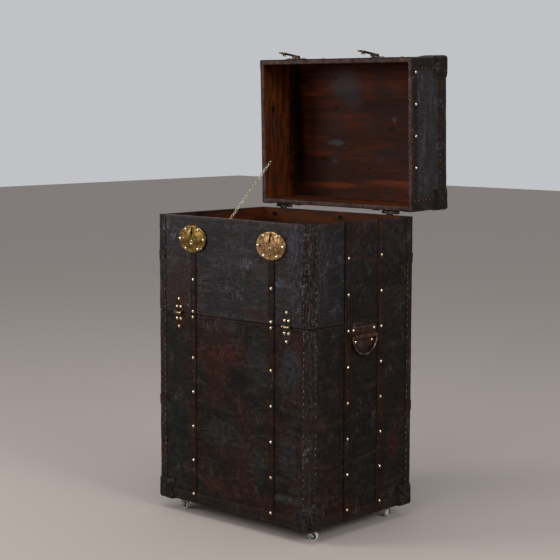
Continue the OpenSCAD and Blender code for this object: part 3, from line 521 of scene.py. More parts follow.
class WallPath:
    """The trunk's outline seen from above, which can be set in from the outer faces."""

    def __init__(self, stops: Sequence[tuple[float, float]], closed: bool, step: float = 6.0,
                 radius: float = SIZE.edge_radius) -> None:
        """Splits the outline into straight runs and rounded corners.

        Args:
            stops: the corners in order, anticlockwise seen from above.
            closed: whether the last corner joins the first.
            step: the spacing of the points.
            radius: the corners' radius.
        """
        self.stops, self.closed, self.radius = np.array(stops, float), closed, radius
        after = np.roll(self.stops, -1, 0) if closed else self.stops[1:]
        before = self.stops if closed else self.stops[:-1]
        spans = after - before
        self.way = spans / np.linalg.norm(spans, axis=1)[:, None]
        self.inward = np.stack([-self.way[:, 1], self.way[:, 0]], 1)
        self.shares = [np.linspace(0, 1, max(2, int(np.linalg.norm(s) / step)) + 1) for s in spans]
        self.arc = np.radians(np.linspace(0, 90, 6)[1:-1])
        self.normals = self._walk(0.0, True)

    def _walk(self, inset: float, normals: bool) -> np.ndarray:
        """Lists the path's points, or its outward directions.

        Args:
            inset: how far it is set in from the faces.
            normals: whether the directions are listed.

        Returns:
            One point or direction per row.
        """
        runs, n = len(self.way), len(self.stops)
        near = [((i - 1) % n, i) for i in range(n)]
        if not self.closed:
            near[0], near[-1] = (0,), (runs - 1,)
        corners = [stop + sum(self.inward[k] for k in beside) * inset
                   for stop, beside in zip(self.stops, near)]
        r = max(self.radius - inset, 0.0)
        out = []
        for k in range(runs):
            begin = 0.0 if not self.closed and k == 0 else r
            end = 0.0 if not self.closed and k == runs - 1 else r
            a = corners[k] + self.way[k] * begin
            b = corners[(k + 1) % n] - self.way[k] * end
            for share in self.shares[k]:
                out.append(-self.inward[k] if normals else a + share * (b - a))
            if self.closed or k < runs - 1:
                here, there = self.inward[k], self.inward[(k + 1) % runs]
                centre = corners[(k + 1) % n] - self.way[k] * r + here * r
                for turn in self.arc:
                    out_way = -(here * math.cos(turn) + there * math.sin(turn))
                    out.append(out_way if normals else centre + r * out_way)
        return np.array(out)

    def level(self, inset: float, z: float, skin: bool) -> np.ndarray:
        """The path at one height.

        Args:
            inset: how far it is set in from the faces.
            z: its height.
            skin: whether it lies on the hide, which stands out and in a little.

        Returns:
            One point per row.
        """
        flat = self._walk(inset, False)
        points = np.column_stack([flat, np.full(len(flat), z)])
        if skin:
            points[:, :2] += self.normals * swell(points)[:, None]
        return points


def levels(low: float, high: float, step: float = 6.0) -> np.ndarray:
    """Heights from low to high, closer together at both ends.

    Args:
        low: the first height.
        high: the last height.
        step: the spacing between the ends.

    Returns:
        The heights.
    """
    fine = [0.0, 0.7, 1.6, 3.2]
    middle = np.linspace(low + fine[-1], high - fine[-1], max(2, int((high - low) / step)))[1:-1]
    return np.array([low + f for f in fine] + list(middle) + [high - f for f in fine[::-1]])


def sweep_walls(draft: Draft, path: WallPath, profile: Sequence[tuple[float, float, bool]]) -> None:
    """Adds walls whose upright section is a closed profile.

    Args:
        draft: the piece.
        path: the walls' outline.
        profile: (inset, height, on the hide) of each point round the section.
    """
    rows = np.stack([path.level(*row) for row in profile])
    skin = np.array([[row[2]] for row in profile], float) * np.ones(rows.shape[1])
    draft.grid(rows, loop=path.closed, wear=rubbed(rows) * skin)


def rubbed(points: np.ndarray) -> np.ndarray:
    """How rubbed the hide is near the trunk's rim and the seam, from 0 to 1.

    Args:
        points: places in the trunk's own frame.

    Returns:
        One share per place.
    """
    z = points[..., 2]
    near = np.maximum(bump_at(z, SIZE.rim, 5), 0.6 * bump_at(z, SIZE.seam_low, 4))
    return np.clip(near * (0.55 + 0.45 * WOBBLE.at(points, 22)) + 0.5 * creases(points), 0, 1)


@dataclass(frozen=True)
class EdgeWrap:
    """A strip of leather folded over a straight edge of the trunk.

    The edge runs from start to end. Its two faces lie along the ways a and b, which point away
    from the edge.
    """

    start: tuple[float, float, float]
    end: tuple[float, float, float]
    a: tuple[float, float, float]
    b: tuple[float, float, float]
    width_a: float
    width_b: float
    thick: float = 1.5
    lift: float = 0.0
    stitched: bool = True
    seed: int = 0
    edge_radius: float = SIZE.edge_radius
    stitch_in: float = 4.2
    stitch_step: float = 17.0
    groove_end: float = 7.5
    spacing: float = 4.2
    under: float = 0.35

    @classmethod
    def upright(cls, side: int, end: tuple, low: float, high: float,
                widths: tuple[float, float], **more: Any) -> "EdgeWrap":
        """A strip over the left (-1) or right (1) upright edge at one of SIZE.ends."""
        x, (y, along) = side * SIZE.half, end
        return cls((x, y, low), (x, y, high), (-side, 0, 0), along, *widths, **more)

    def _sides(self) -> list[tuple[np.ndarray, float, np.ndarray]]:
        """Each side's way from the edge, its width and its outward direction."""
        a, b = np.array(self.a, float), np.array(self.b, float)
        return [(a, self.width_a, -b), (b, self.width_b, -a)]

    def _profile(self, width: float) -> tuple[np.ndarray, np.ndarray]:
        """One side's section, from its border to the edge.

        Args:
            width: the side's width.

        Returns:
            The distances from the edge and the heights.
        """
        body = np.linspace(width - self.groove_end, self.edge_radius, 4)
        distance = np.concatenate([[width, width - 0.4, width - 1.6, width - self.stitch_in], body])
        groove = 0.66 if self.stitched else 1
        return distance, np.append([0.1], self.thick * np.array([0.75, 1, groove, 1, 1, 1, 1]))

    def draw(self, leather: Draft, thread: Draft | None = None) -> None:
        """Adds the strip and its stitches.

        Args:
            leather: the piece that gets the strip.
            thread: the piece that gets the stitches.
        """
        start, end = np.array(self.start, float), np.array(self.end, float)
        a, b = (way_out for way_out, _, _ in self._sides())
        length = float(np.linalg.norm(end - start))
        way = (end - start) / length
        at = np.linspace(0, length, max(3, int(length / self.spacing)) + 1)
        edge = start + at[:, None] * way
        turns = np.radians(np.linspace(0, 90, 6)[1:-1])
        r = self.edge_radius
        rows_out, rows_in, wear = [], [], []

        def row(base: np.ndarray, normal: np.ndarray, height: np.ndarray, rub: float) -> None:
            """Adds one line of points along the strip.

            Args:
                base: the line on the CAD face.
                normal: the outward direction.
                height: the height over the hide.
                rub: how rubbed it is.
            """
            hide = swell(base)[:, None]
            lump = 0.16 * WOBBLE.at(base + self.seed, 9) + 0.12 * DENT.at(base, 26)
            up = height * (1 + lump * (height > 0.5))
            rows_out.append(base + normal * (self.lift + hide + up[:, None]))
            rows_in.append(base + normal * (self.lift + hide - self.under))
            wear.append(np.full(len(base), rub) * (0.6 + 0.4 * DENT.at(base, 14)))

        for side, (way_out, width, normal) in enumerate(self._sides()):
            if side == 1:
                for turn in turns:
                    out_way = -(b * math.cos(turn) + a * math.sin(turn))
                    base = edge + (a + b) * r + out_way * r
                    row(base, out_way, np.full(len(at), self.thick), 0.9)
            distance, height = self._profile(width)
            order = range(len(distance)) if side == 0 else range(len(distance) - 1, -1, -1)
            for k in order:
                border = max(0.0, 1 - 0.5 * k) if k < 2 else 0.0
                wobble = 0.9 * WOBBLE.at(edge + 300 * side + self.seed, 23) + 0.5 * np.sin(
                    at * 2 * math.pi / self.stitch_step)
                base = edge + way_out * (distance[k] + wobble * (k < 4))[:, None]
                row(base, normal, np.full(len(at), height[k]), 0.55 if border else 0.1)
        points = np.concatenate([np.stack(rows_out), np.stack(rows_in)[::-1]])
        values = np.concatenate([np.stack(wear), np.zeros((len(rows_in), len(at)))])
        leather.grid(points, wear=np.clip(values, 0, 1))
        if thread is not None and self.stitched:
            self._stitch(thread, start, way, length)

    def _stitch(self, thread: Draft, start: np.ndarray, way: np.ndarray, length: float) -> None:
        """Adds the stitches along both borders.

        Args:
            thread: the piece.
            start: the edge's first point.
            way: the edge's direction.
            length: its length.
        """
        form, faces = stitch_form()
        places = []
        for way_out, width, normal in self._sides():
            for s in np.arange(self.stitch_step * 0.6, length - 4, self.stitch_step):
                base = start + way * s + way_out * (width - self.stitch_in)
                drift = float(WOBBLE.at(base, 7))
                axis = way + way_out * 0.16 * drift
                axis = axis / np.linalg.norm(axis)
                out = self.lift + float(swell(base)) + 0.72 * self.thick + 0.3
                places.append((axes_for(normal, axis) * (1 + 0.15 * drift), base + normal * out))
        thread.copies(form, faces, places)


@cache
def stitch_form() -> tuple[np.ndarray, list]:
    """A single stitch along X: a short thread that dips into the leather at both ends.

    Returns:
        Its points and its faces.
    """
    length, radius, sides = 6.4, 0.55, 6
    stations = [(-0.5, 0.35, -1.0), (-0.36, 0.8, -0.15), (0.0, 1.0, 0.12), (0.36, 0.8, -0.15),
                (0.5, 0.35, -1.0)]
    points = []
    for s, wide, drop in stations:
        for k in range(sides):
            turn = 2 * math.pi * k / sides
            points.append((s * length, radius * wide * math.cos(turn),
                           drop + radius * wide * math.sin(turn)))
    end = list(range(len(points) - sides, len(points)))
    return np.array(points), ring_faces(len(stations), sides) + [end]


# The share of the strap's width, the share of its thickness and its painted shade, from edge to
# edge: darkest along the edges and in the grooves, a little more on one side.
STRAP_SECTION = (
    (-0.5, 0.0, 1.0), (-0.485, 0.62, 1.0), (-0.44, 0.9, 0.35), (-0.37, 0.9, 0.15),
    (-0.33, 0.84, 0.6), (-0.18, 0.96, 0.1), (0.0, 1.0, 0.0), (0.18, 0.96, 0.1), (0.33, 0.84, 0.6),
    (0.37, 0.9, 0.15), (0.44, 0.9, 0.55), (0.485, 0.62, 1.0), (0.5, 0.0, 1.0))


def strap(draft: Draft, base: np.ndarray, normals: np.ndarray, across: Sequence[float],
          width: float, thick: float, seed: int) -> None:
    """Adds a strap that follows a line over the hide.

    Args:
        draft: the piece.
        base: the strap's middle line on the CAD face, one point per row.
        normals: the outward direction at each point.
        across: the direction of the strap's width.
        width: its width.
        thick: its thickness.
        seed: shifts the strap's own unevenness.
    """
    across = np.asarray(across, float)
    drift = 0.35 * WOBBLE.at(base + 17.0 * seed, 44)
    outer, inner, wear, soil = [], [], [], []
    for share, rise, dirt in STRAP_SECTION:
        height = rise * thick
        flat = base + across * (share * width + drift)[:, None]
        hide = swell(flat)
        lump = 0.14 * DENT.at(flat + seed, 17)
        outer.append(flat + normals * (hide + height + lump * (height > 0.5))[:, None])
        inner.append(flat + normals * (hide - SUNK)[:, None])
        rub = (0.9 if share < 0 else 0.35) * smooth(DENT.at(flat + 9.0 * seed, 130), -0.05, 0.3)
        wear.append((rub + 0.3 * WOBBLE.at(flat, 30)) * (0.4 < abs(share) < 0.49))
        # Painted shade along the strap's edges and grooves.
        soil.append(np.full(len(base), dirt))
    draft.slab(outer, inner, np.clip(wear, 0, 1), soil)


def upright_strap(draft: Draft, face: Face, across: float, low: float, high: float,
                  seed: int) -> None:
    """Adds an upright strap to one of the faces.

    Args:
        draft: the piece.
        face: the face that it lies on.
        across: its place across the face.
        low: its lower end.
        high: its upper end.
        seed: shifts its own unevenness.
    """
    z = np.linspace(low, high, max(3, int((high - low) / 6)) + 1)
    base = np.stack([face.spot(across, height) for height in z])
    width = STRAPS.side_width if face in (Face.LEFT, Face.RIGHT) else STRAPS.width
    strap(draft, base, np.tile(face.normal, (len(z), 1)), face.value[1], width, STRAPS.thick, seed)


@dataclass(frozen=True)
class CapSizes:
    """The sizes of the gathered leather corner caps.

    The points lie closer together near the corner. The border is gathered in small frills, and
    folds run from it towards the corner and fade out beside it.
    """

    out: float = 4.5
    length: float = 56.0
    radius: float = 8.0
    cells: int = 22
    near: float = 6.0
    near_cells: int = 7
    skirt: float = 1.3
    skirt_fade: float = 11.0
    thick: float = 1.7
    frills: int = 9
    frill: float = 0.05
    folds: int = 13
    fold: float = 0.55
    fold_fade: float = 18.0
    merge: float = 0.12


CAP = CapSizes()
SIDES = (-1, 1)


def four_caps(z: float, up: int, under: float, seed: int) -> Draft:
    """Draws the caps over four corners of the same height.

    Args:
        z: the corners' height.
        up: 1 if the trunk stands over the corners and -1 if it lies under them.
        under: how far the caps reach over the face square to Z.
        seed: the first cap's seed.

    Returns:
        The piece.
    """
    draft = Draft()
    for i, side in enumerate(SIDES):
        for j, (y, into) in enumerate(SIZE.ends):
            corner, inward = (side * SIZE.half, y, z), (-side, into[1], up)
            corner_cap(draft, corner, inward, under, seed + 2 * i + j)
    return draft


def corner_cap(draft: Draft, corner: Sequence[float], inward: Sequence[float], under: float,
               seed: int) -> None:
    """Adds a gathered leather cap over a corner of the trunk.

    Args:
        draft: the piece.
        corner: the corner of the hide.
        inward: +1 or -1 per axis, pointing into the trunk.
        under: how far the cap reaches over the face square to Z.
        seed: shifts the cap's folds.
    """
    corner, inward = np.array(corner, float), np.array(inward, float)
    out, length, radius, skirt = CAP.out, CAP.length, CAP.radius, CAP.skirt
    work = bmesh.new()
    span = np.concatenate([np.linspace(-out, CAP.near, CAP.near_cells + 1)[:-1],
                           np.linspace(CAP.near, length, CAP.cells - CAP.near_cells)])
    shift = np.array([seed * 37.0, seed * 11.0, 5.0])
    for axis in range(3):
        others = [k for k in range(3) if k != axis]
        number = {}
        for i, u in enumerate(span):
            for j, v in enumerate(span):
                if axis == 2 and u > under + 0.5 and v > under + 0.5:
                    continue
                turn = math.atan2(max(v, 0) + 1, max(u, 0) + 1)
                uneven = float(WOBBLE.at(np.array([turn * 40, seed * 9.0, axis * 50.0]), 12))
                frill = 1 + CAP.frill * math.sin(turn * CAP.frills + seed) + CAP.frill * uneven
                fade = float(smooth(length - max(u, v), 0, CAP.skirt_fade))
                height = skirt + (out - skirt) * fade
                p = np.zeros(3)
                p[axis] = -height
                p[others[0]], p[others[1]] = u, v
                core = np.clip(p, -out + radius, None)
                core[axis] = -height + radius
                step = p - core
                size = np.linalg.norm(step)
                bend = p if size < 1e-9 else core + step / size * min(size, radius)
                grown = min(1.0, max(u, v, 0) / CAP.fold_fade)
                fold = math.sin(turn * CAP.folds + seed * 2.1) * CAP.fold * grown * fade
                spot = bend + shift
                lump = 0.7 * float(DENT.at(spot, 11)) + 0.5 * float(CREASE.at(spot, 5.5))
                way = step / size if size > 1e-9 else np.zeros(3)
                bend = bend + way * (fold + lump * 0.8) * (0.25 + 0.75 * fade)
                stretch = np.where(bend > 8, 8 + (bend - 8) * frill, bend)
                number[i, j] = work.verts.new(corner + inward * stretch)
        for i in range(len(span) - 1):
            for j in range(len(span) - 1):
                keys = [(i, j), (i + 1, j), (i + 1, j + 1), (i, j + 1)]
                if all(key in number for key in keys):
                    work.faces.new([number[key] for key in keys])
    bmesh.ops.remove_doubles(work, verts=work.verts, dist=CAP.merge)
    bmesh.ops.recalc_face_normals(work, faces=work.faces)
    centre = corner + inward * length
    work.faces.ensure_lookup_table()
    sample = work.faces[0]
    if (sample.calc_center_median() - Vector(centre)).dot(sample.normal) < 0:
        bmesh.ops.reverse_faces(work, faces=work.faces)
    bmesh.ops.solidify(work, geom=work.faces[:], thickness=CAP.thick)
    work.verts.ensure_lookup_table()
    points = np.array([v.co for v in work.verts])
    faces = [[v.index for v in f.verts] for f in work.faces]
    work.free()
    raised = np.clip(DENT.at(points + shift, 7) * 1.6 + 0.1, 0, 1)
    draft.add(points, faces, wear=raised)


class Slot(Enum):
    """The record's material slots."""

    WOOD = "stained_wood"
    HIDE = "black_leather"
    STRAP = "strap_leather"
    TRIM = "trim_leather"
    BRASS = "brass"
    DARK_BRASS = "dark_brass"
    CHAIN = "chain_brass"
    STEEL = "steel"
    WHEEL = "wheel_plastic"


def tint(code: str) -> tuple[float, float, float, float]:
    """Turns a colour into linear values.

    Args:
        code: the colour, written as #rrggbb.

    Returns:
        Its red, green, blue and alpha.
    """
    parts = [int(code[i:i + 2], 16) / 255 for i in (1, 3, 5)]
    linear = [c / 12.92 if c <= 0.04045 else ((c + 0.055) / 1.055) ** 2.4 for c in parts]
    return (*linear, 1.0)


class Tree:
    """Adds linked nodes to one node tree."""

    def __init__(self, tree: NodeTree) -> None:
        """Takes the tree to add to."""
        self.tree = tree

    def node(self, kind: str, inputs: dict | None = None, **settings: Any) -> bpy.types.Node:
        """Adds a node.

        Args:
            kind: the node's type, without the ShaderNode in front.
            inputs: its sockets' values, or the sockets to link to them.
            settings: its other properties.

        Returns:
            The node.
        """
        name = kind if kind.startswith(("NodeGroup", "ShaderNode")) else "ShaderNode" + kind
        new = self.tree.nodes.new(name)
        for key, value in settings.items():
            setattr(new, key, value)
        self.feed(new, inputs or {})
        return new

    def feed(self, node: bpy.types.Node, inputs: dict) -> None:
        """Links sockets of a node to others, or sets their values.

        Args:
            node: the node.
            inputs: the socket to link, or the value to set, for each of its sockets.
        """
        for key, value in inputs.items():
            if isinstance(value, Socket):
                self.tree.links.new(value, node.inputs[key])
            else:
                node.inputs[key].default_value = value

    def math(self, operation: str, a: Any, b: Any = 0.0) -> Socket:
        """Adds a Math node and returns its result."""
        return self.node("Math", {0: a, 1: b}, operation=operation).outputs[0]

    def times(self, a: Any, b: Any) -> Socket:
        """Multiplies two values."""
        return self.math("MULTIPLY", a, b)

    def plus(self, a: Any, b: Any) -> Socket:
        """Adds two values."""
        return self.math("ADD", a, b)

    def apart(self, a: Any, b: float) -> Socket:
        """How far a value is from a number."""
        return self.math("ABSOLUTE", self.math("SUBTRACT", a, b))

    def vector(self, operation: str, a: Any, b: Any) -> Socket:
        """Adds a Vector Math node and returns its result."""
        return self.node("VectorMath", {0: a, 1: b}, operation=operation).outputs[0]

    def length(self, a: Any) -> Socket:
        """The length of a vector."""
        return self.node("VectorMath", {0: a}, operation="LENGTH").outputs["Value"]

    def mark(self, name: str) -> Socket:
        """Reads one of the values that each point of a piece carries."""
        return self.node("Attribute", attribute_name=name).outputs["Fac"]

    def mix(self, share: Any, a: Any, b: Any) -> Socket:
        """Adds a Mix node for colours and returns its result."""
        return self.node("Mix", {0: share, 6: a, 7: b}, data_type="RGBA").outputs[2]

    def step(self, value: Any, low: float, high: float, to: tuple[float, float] = (0, 1)) -> Any:
        """Adds a smooth step between two values.

        Args:
            value: what is stepped.
            low: where the step starts.
            high: where the step ends.
            to: the results at both.

        Returns:
            The result's socket.
        """
        return self.node("MapRange", {"Value": value, "From Min": low, "From Max": high,
                                      "To Min": to[0], "To Max": to[1]},
                         interpolation_type="SMOOTHSTEP").outputs[0]

    def noise(self, place: Any, scale: Any, detail: float = 4, rough: float = 0.6,
              bend: float = 0.0) -> Socket:
        """Adds a Noise Texture and returns its value."""
        return self.node("TexNoise", {"Vector": place, "Scale": scale, "Detail": detail,
                                      "Roughness": rough, "Distortion": bend}).outputs[0]

    def cells(self, place: Any, scale: float) -> Socket:
        """Adds a Voronoi Texture and returns the distance from its cells' middles."""
        voronoi = self.node("TexVoronoi", {"Vector": place, "Scale": scale}, feature="F1")
        return voronoi.outputs["Distance"]

    def stretched(self, place: Any, scale: Any,
                  turn: tuple[float, float, float] = (0, 0, 0)) -> Socket:
        """Adds a Mapping node and returns its vector."""
        return self.node("Mapping", {"Vector": place, "Scale": scale, "Rotation": turn}).outputs[0]

    def group(self, tree: NodeTree, inputs: dict) -> Any:
        """Places a shader node group with its own values and returns its outputs."""
        return self.node("ShaderNodeGroup", inputs, node_tree=tree).outputs


class Paint(Tree):
    """The nodes of one material: they start at the place on the piece and end in its shader."""

    def __init__(self, tree: NodeTree) -> None:
        """Takes the material's nodes.

        Args:
            tree: the material's node tree.
        """
        super().__init__(tree)
        self.shader = tree.nodes["Principled BSDF"]
        self.place = self.node("TexCoord").outputs["Object"]

    def cover(self, colour: Any, layers: Iterable[tuple[Any, str]]) -> Socket:
        """Mixes colours over another, one after the other.

        Args:
            colour: the colour under them.
            layers: the share and the colour of each.

        Returns:
            The mixed colour.
        """
        for share, over in layers:
            colour = self.mix(share, colour, tint(over))
        return colour

    def finish(self, inputs: dict, height: Any, depth: float) -> None:
        """Feeds the shader, and a height of some depth in metres into its normal."""
        bump = self.node("Bump", {"Height": height, "Distance": depth, "Strength": 1.0})
        self.feed(self.shader, {**inputs, "Normal": bump.outputs[0]})


def new_group(name: str, vectors: Sequence[str], numbers: Sequence[str],
              outputs: Sequence[str]) -> tuple[Tree, Any, Any]:
    """Starts a shader node group.

    Args:
        name: its name.
        vectors: the names of its vector inputs.
        numbers: the names of its number inputs.
        outputs: the names of its outputs, which are all numbers.

    Returns:
        The group's tree, its inputs and its output node.
    """
    group = bpy.data.node_groups.new(name, "ShaderNodeTree")
    for way, kind, labels in (("INPUT", "Vector", vectors), ("INPUT", "Float", numbers),
                              ("OUTPUT", "Float", outputs)):
        for label in labels:
            group.interface.new_socket(name=label, in_out=way, socket_type="NodeSocket" + kind)
    given = group.nodes.new("NodeGroupInput").outputs
    return Tree(group), given, group.nodes.new("NodeGroupOutput")


@cache
def hide_group() -> NodeTree:
    """The grain, wrinkles and blotches of old leather.

    Returns:
        The node group.
    """
    t, given, result = new_group("hide", ("Place", "Fibre"), ("Pores", "Wrinkles"),
                                 ("Height", "Blotch", "Streak", "Mottle", "Fine"))
    place = given["Place"]
    pores = t.cells(place, 560.0)
    fine = t.noise(place, 300, 5, 0.7)
    wrinkles = t.step(t.apart(t.noise(place, 52, 6, 0.62, 1.6), 0.5), 0.0, 0.06)
    folds = t.times(t.noise(place, 88, 5, 0.66, 1.4), t.times(t.mark("crumple"), 17.0))
    height = t.plus(t.times(t.plus(pores, fine), given["Pores"]),
                    t.times(wrinkles, given["Wrinkles"]))
    broad = t.times(t.noise(place, 34, 3, 0.55, 0.4), 1.6)
    along = t.stretched(place, given["Fibre"])
    fibres = t.times(t.noise(along, 3.2, 4, 0.62, 0.8), 1.5)
    t.feed(result, {"Height": t.plus(t.plus(height, folds), t.plus(broad, fibres)),
                    "Blotch": t.step(t.noise(place, 8.5, 6, 0.68, 0.7), 0.42, 0.58),
                    "Streak": t.step(t.noise(along, 1.0, 6, 0.72, 1.2), 0.47, 0.63),
                    "Mottle": t.step(t.noise(place, 62, 5, 0.7, 0.5), 0.36, 0.64),
                    "Fine": fine})
    return t.tree


@cache
def scuff_and_glint_group() -> NodeTree:
    """Thin light scratches and rubbed spots, most of them where the hide is crumpled, where they
    also stand for painted glints.

    Returns:
        The node group.
    """
    t, given, result = new_group("scuffs", ("Place",), ("Amount",), ("Mask",))
    place = given["Place"]
    lines = None
    for turn, scale in ((0.5, 1.0), (-0.9, 1.4), (2.2, 0.8)):
        turned = (turn, turn * 0.7, turn * 1.3)
        along = t.stretched(place, (30 * scale, 30 * scale, 7 * scale), turned)
        line = t.step(t.apart(t.noise(along, 1.0, 2, 0.5, 1.4), 0.5), 0.014, 0.0)
        lines = line if lines is None else t.math("MAXIMUM", lines, line)
    where = t.step(t.noise(place, 17, 4, 0.7), 0.52, 0.66)
    # Where the hide is crumpled the pale marks are painted glints.
    where = t.math("MAXIMUM", where, t.times(t.mark("crumple"), 0.8))
    spots = t.step(t.noise(place, 120, 3, 0.6, 0.6), 0.62, 0.74)
    mask = t.times(t.plus(lines, t.times(spots, 0.8)), where)
    t.feed(result, {"Mask": t.math("MINIMUM", t.times(mask, given["Amount"]), 1.0)})
    return t.tree


@cache
def rub_group() -> NodeTree:
    """Where a piece is rubbed, where it is painted darker with shade and some grime, and how
    crumpled it is, from its own marks; the rubbing is broken up by noise.

    Returns:
        The node group.
    """
    t, given, result = new_group("rubbing", ("Place",), ("Size",), ("Worn", "Soiled", "Folded"))
    grain = t.noise(given["Place"], given["Size"], 5, 0.7)
    t.feed(result, {"Worn": t.times(t.mark("wear"), t.step(grain, 0.36, 0.62)),
                    "Soiled": t.mark("soil"), "Folded": t.mark("crumple")})
    return t.tree


@cache
def grain_group() -> NodeTree:
    """Wood grain along X, bent round small knots.

    Returns:
        The node group.
    """
    t, given, result = new_group("wood_grain", ("Place",), (),
                                 ("Height", "Stripe", "Knot", "Cloud", "Broad"))
    place = given["Place"]
    knots = t.cells(t.stretched(place, (7.0, 12.0, 12.0)), 1.0)
    bend = t.times(t.step(knots, 0.5, 0.0), 1.1)
    shift = t.node("CombineXYZ", {0: 0.0, 1: bend, 2: bend}).outputs[0]
    bent = t.vector("ADD", t.stretched(place, (2.4, 58.0, 58.0)), shift)
    stripe = t.noise(bent, 1.0, 8, 0.74, 0.5)
    fine = t.noise(t.stretched(place, (12.0, 330.0, 330.0)), 1.0, 3, 0.6)
    broad = t.noise(t.stretched(place, (2.6, 10.0, 10.0)), 1.0, 4, 0.6, 0.3)
    t.feed(result, {"Stripe": t.step(stripe, 0.32, 0.7),
                    "Height": t.plus(stripe, t.times(fine, 0.6)),
                    "Knot": t.step(knots, 0.13, 0.04), "Broad": t.step(broad, 0.42, 0.62),
                    "Cloud": t.step(t.noise(place, 13, 5, 0.66, 0.4), 0.42, 0.62)})
    return t.tree


@cache
def patina_group() -> NodeTree:
    """Tarnish and small dents of old metal, and the painted shade at its foot.

    Returns:
        The node group.
    """
    t, given, result = new_group("patina", ("Place",), ("Size",), ("Mask", "Height", "Dirt"))
    place = given["Place"]
    cloud = t.noise(place, given["Size"], 6, 0.66, 0.5)
    fine = t.noise(place, 420, 4, 0.6)
    t.feed(result, {"Mask": t.step(cloud, 0.4, 0.6), "Dirt": t.mark("soil"),
                    "Height": t.plus(t.times(cloud, 0.8), t.times(fine, 0.3))})
    return t.tree


@cache
def soft_mark_group() -> NodeTree:
    """One soft-edged mark with a ragged border: a tone or stain, or painted shade, shadow or sheen.

    Returns:
        The node group.
    """
    t, given, result = new_group("smudge", ("Place", "Middle", "Reach"), (), ("Mask",))
    place = given["Place"]
    ragged = t.node("TexNoise", {"Vector": place, "Scale": 34.0, "Detail": 5.0,
                                 "Roughness": 0.65}).outputs[1]
    pushed = t.vector("SUBTRACT", ragged, (0.5, 0.5, 0.5))
    way = t.vector("SUBTRACT", place, given["Middle"])
    far = t.length(t.vector("ADD", t.vector("DIVIDE", way, given["Reach"]), pushed))
    t.feed(result, {"Mask": t.step(far, 1.0, 0.35)})
    return t.tree


@dataclass(frozen=True)
class Finish:
    """What a piece is made of. Each kind draws its own nodes."""

    name: str
    kind: Slot

    @property
    def slot(self) -> str:
        """The record's material slot."""
        return self.kind.value

    def material(self) -> bpy.types.Material:
        """The finish's material, which is built once.

        Returns:
            The material.
        """
        found = bpy.data.materials.get(self.name)
        if found is not None:
            return found
        made = bpy.data.materials.new(self.name)
        made.use_nodes = True
        self.draw(Paint(made.node_tree))
        return made

    def draw(self, t: Paint) -> None:
        """Adds the finish's own nodes to those of the material."""
        raise NotImplementedError


@dataclass(frozen=True)
class SoftMark:
    """A mark at a place on a piece, in metres: a tone or stain of its own, or painted shade, shadow
    or sheen.
    """

    middle: tuple[float, float, float]
    reach: tuple[float, float, float]
    colour: str
    share: float

    def layer(self, t: Paint) -> tuple[Any, str]:
        """The mark's share over the piece, and its colour."""
        inputs = {"Place": t.place, "Middle": self.middle, "Reach": self.reach}
        return t.times(t.group(soft_mark_group(), inputs)["Mask"], self.share), self.colour


@dataclass(frozen=True)
class Leather(Finish):
    """Old waxed leather: blotches, rubbed edges, scratches that are partly painted glints, painted
    sheen in grey streaks, high up and in folds, and painted shade in grooves.
    """

    base: str = "#15130e"
    blotch: str = "#28130d"
    # The grey streak colour is painted sheen along the fibres, at the share given below.
    hazy: str = "#332b2a"
    worn: str = "#4a3227"
    # The pale scratch colour is real scratching, and painted glints where the hide is crumpled.
    scuffed: str = "#75707a"
    dark: str = "#0b0806"
    # The near-black colour is painted shade along strap edges and in grooves, with some grime.
    dirt: str = "#040303"
    haze: float = 0.55
    # The upper share and the tint below paint sheen over the upper part of the hide, in clouds.
    upper: float = 0.0
    upper_tint: str = "#3c3b44"
    scuffs: float = 0.5
    pores: float = 0.35
    wrinkles: float = 0.6
    rough: float = 0.56
    gloss: float = 0.08
    depth: float = 0.0005
    # The folds share paints a pale highlight, in the sheen tint, where the hide is crumpled.
    folds: float = 0.1
    fibre: tuple[float, float, float] = (11.0, 11.0, 62.0)
    marks: tuple[SoftMark, ...] = ()

    def draw(self, t: Paint) -> None:
        """Adds the leather's nodes.

        Args:
            t: the material's nodes.
        """
        place = t.place
        hide = t.group(hide_group(), {"Place": place, "Fibre": self.fibre, "Pores": self.pores,
                                      "Wrinkles": self.wrinkles})
        rub = t.group(rub_group(), {"Place": place, "Size": 90.0})
        scuff_and_glint = t.group(scuff_and_glint_group(), {"Place": place, "Amount": self.scuffs})["Mask"]
        height = t.node("SeparateXYZ", {0: place}).outputs[2]
        # Painted sheen: clouds over the upper part, the grey streaks and the pale folds; the pale
        # scratches are partly painted glints and the near-black layer is painted shade.
        cloud = t.step(t.noise(place, 11.0, 6, 0.7, 0.8), 0.38, 0.62)
        high = t.times(t.step(height, 0.4, 0.78), t.times(cloud, self.upper))
        colour = t.cover(tint(self.base), [
            (hide["Blotch"], self.blotch), (t.times(hide["Streak"], self.haze), self.hazy),
            (high, self.upper_tint), (t.times(rub["Folded"], self.folds), self.upper_tint),
            *[mark.layer(t) for mark in self.marks], (t.times(hide["Mottle"], 0.7), self.dark),
            (rub["Worn"], self.worn), (scuff_and_glint, self.scuffed),
            (t.times(rub["Soiled"], 0.92), self.dirt)])
        rough = t.plus(t.times(hide["Fine"], 0.22), t.times(hide["Mottle"], 0.12))
        rough = t.plus(t.math("SUBTRACT", rough, t.times(rub["Folded"], 0.2)), self.rough - 0.17)
        t.finish({"Base Color": colour, "Roughness": rough, "Specular IOR Level": self.gloss},
                 hide["Height"], self.depth)


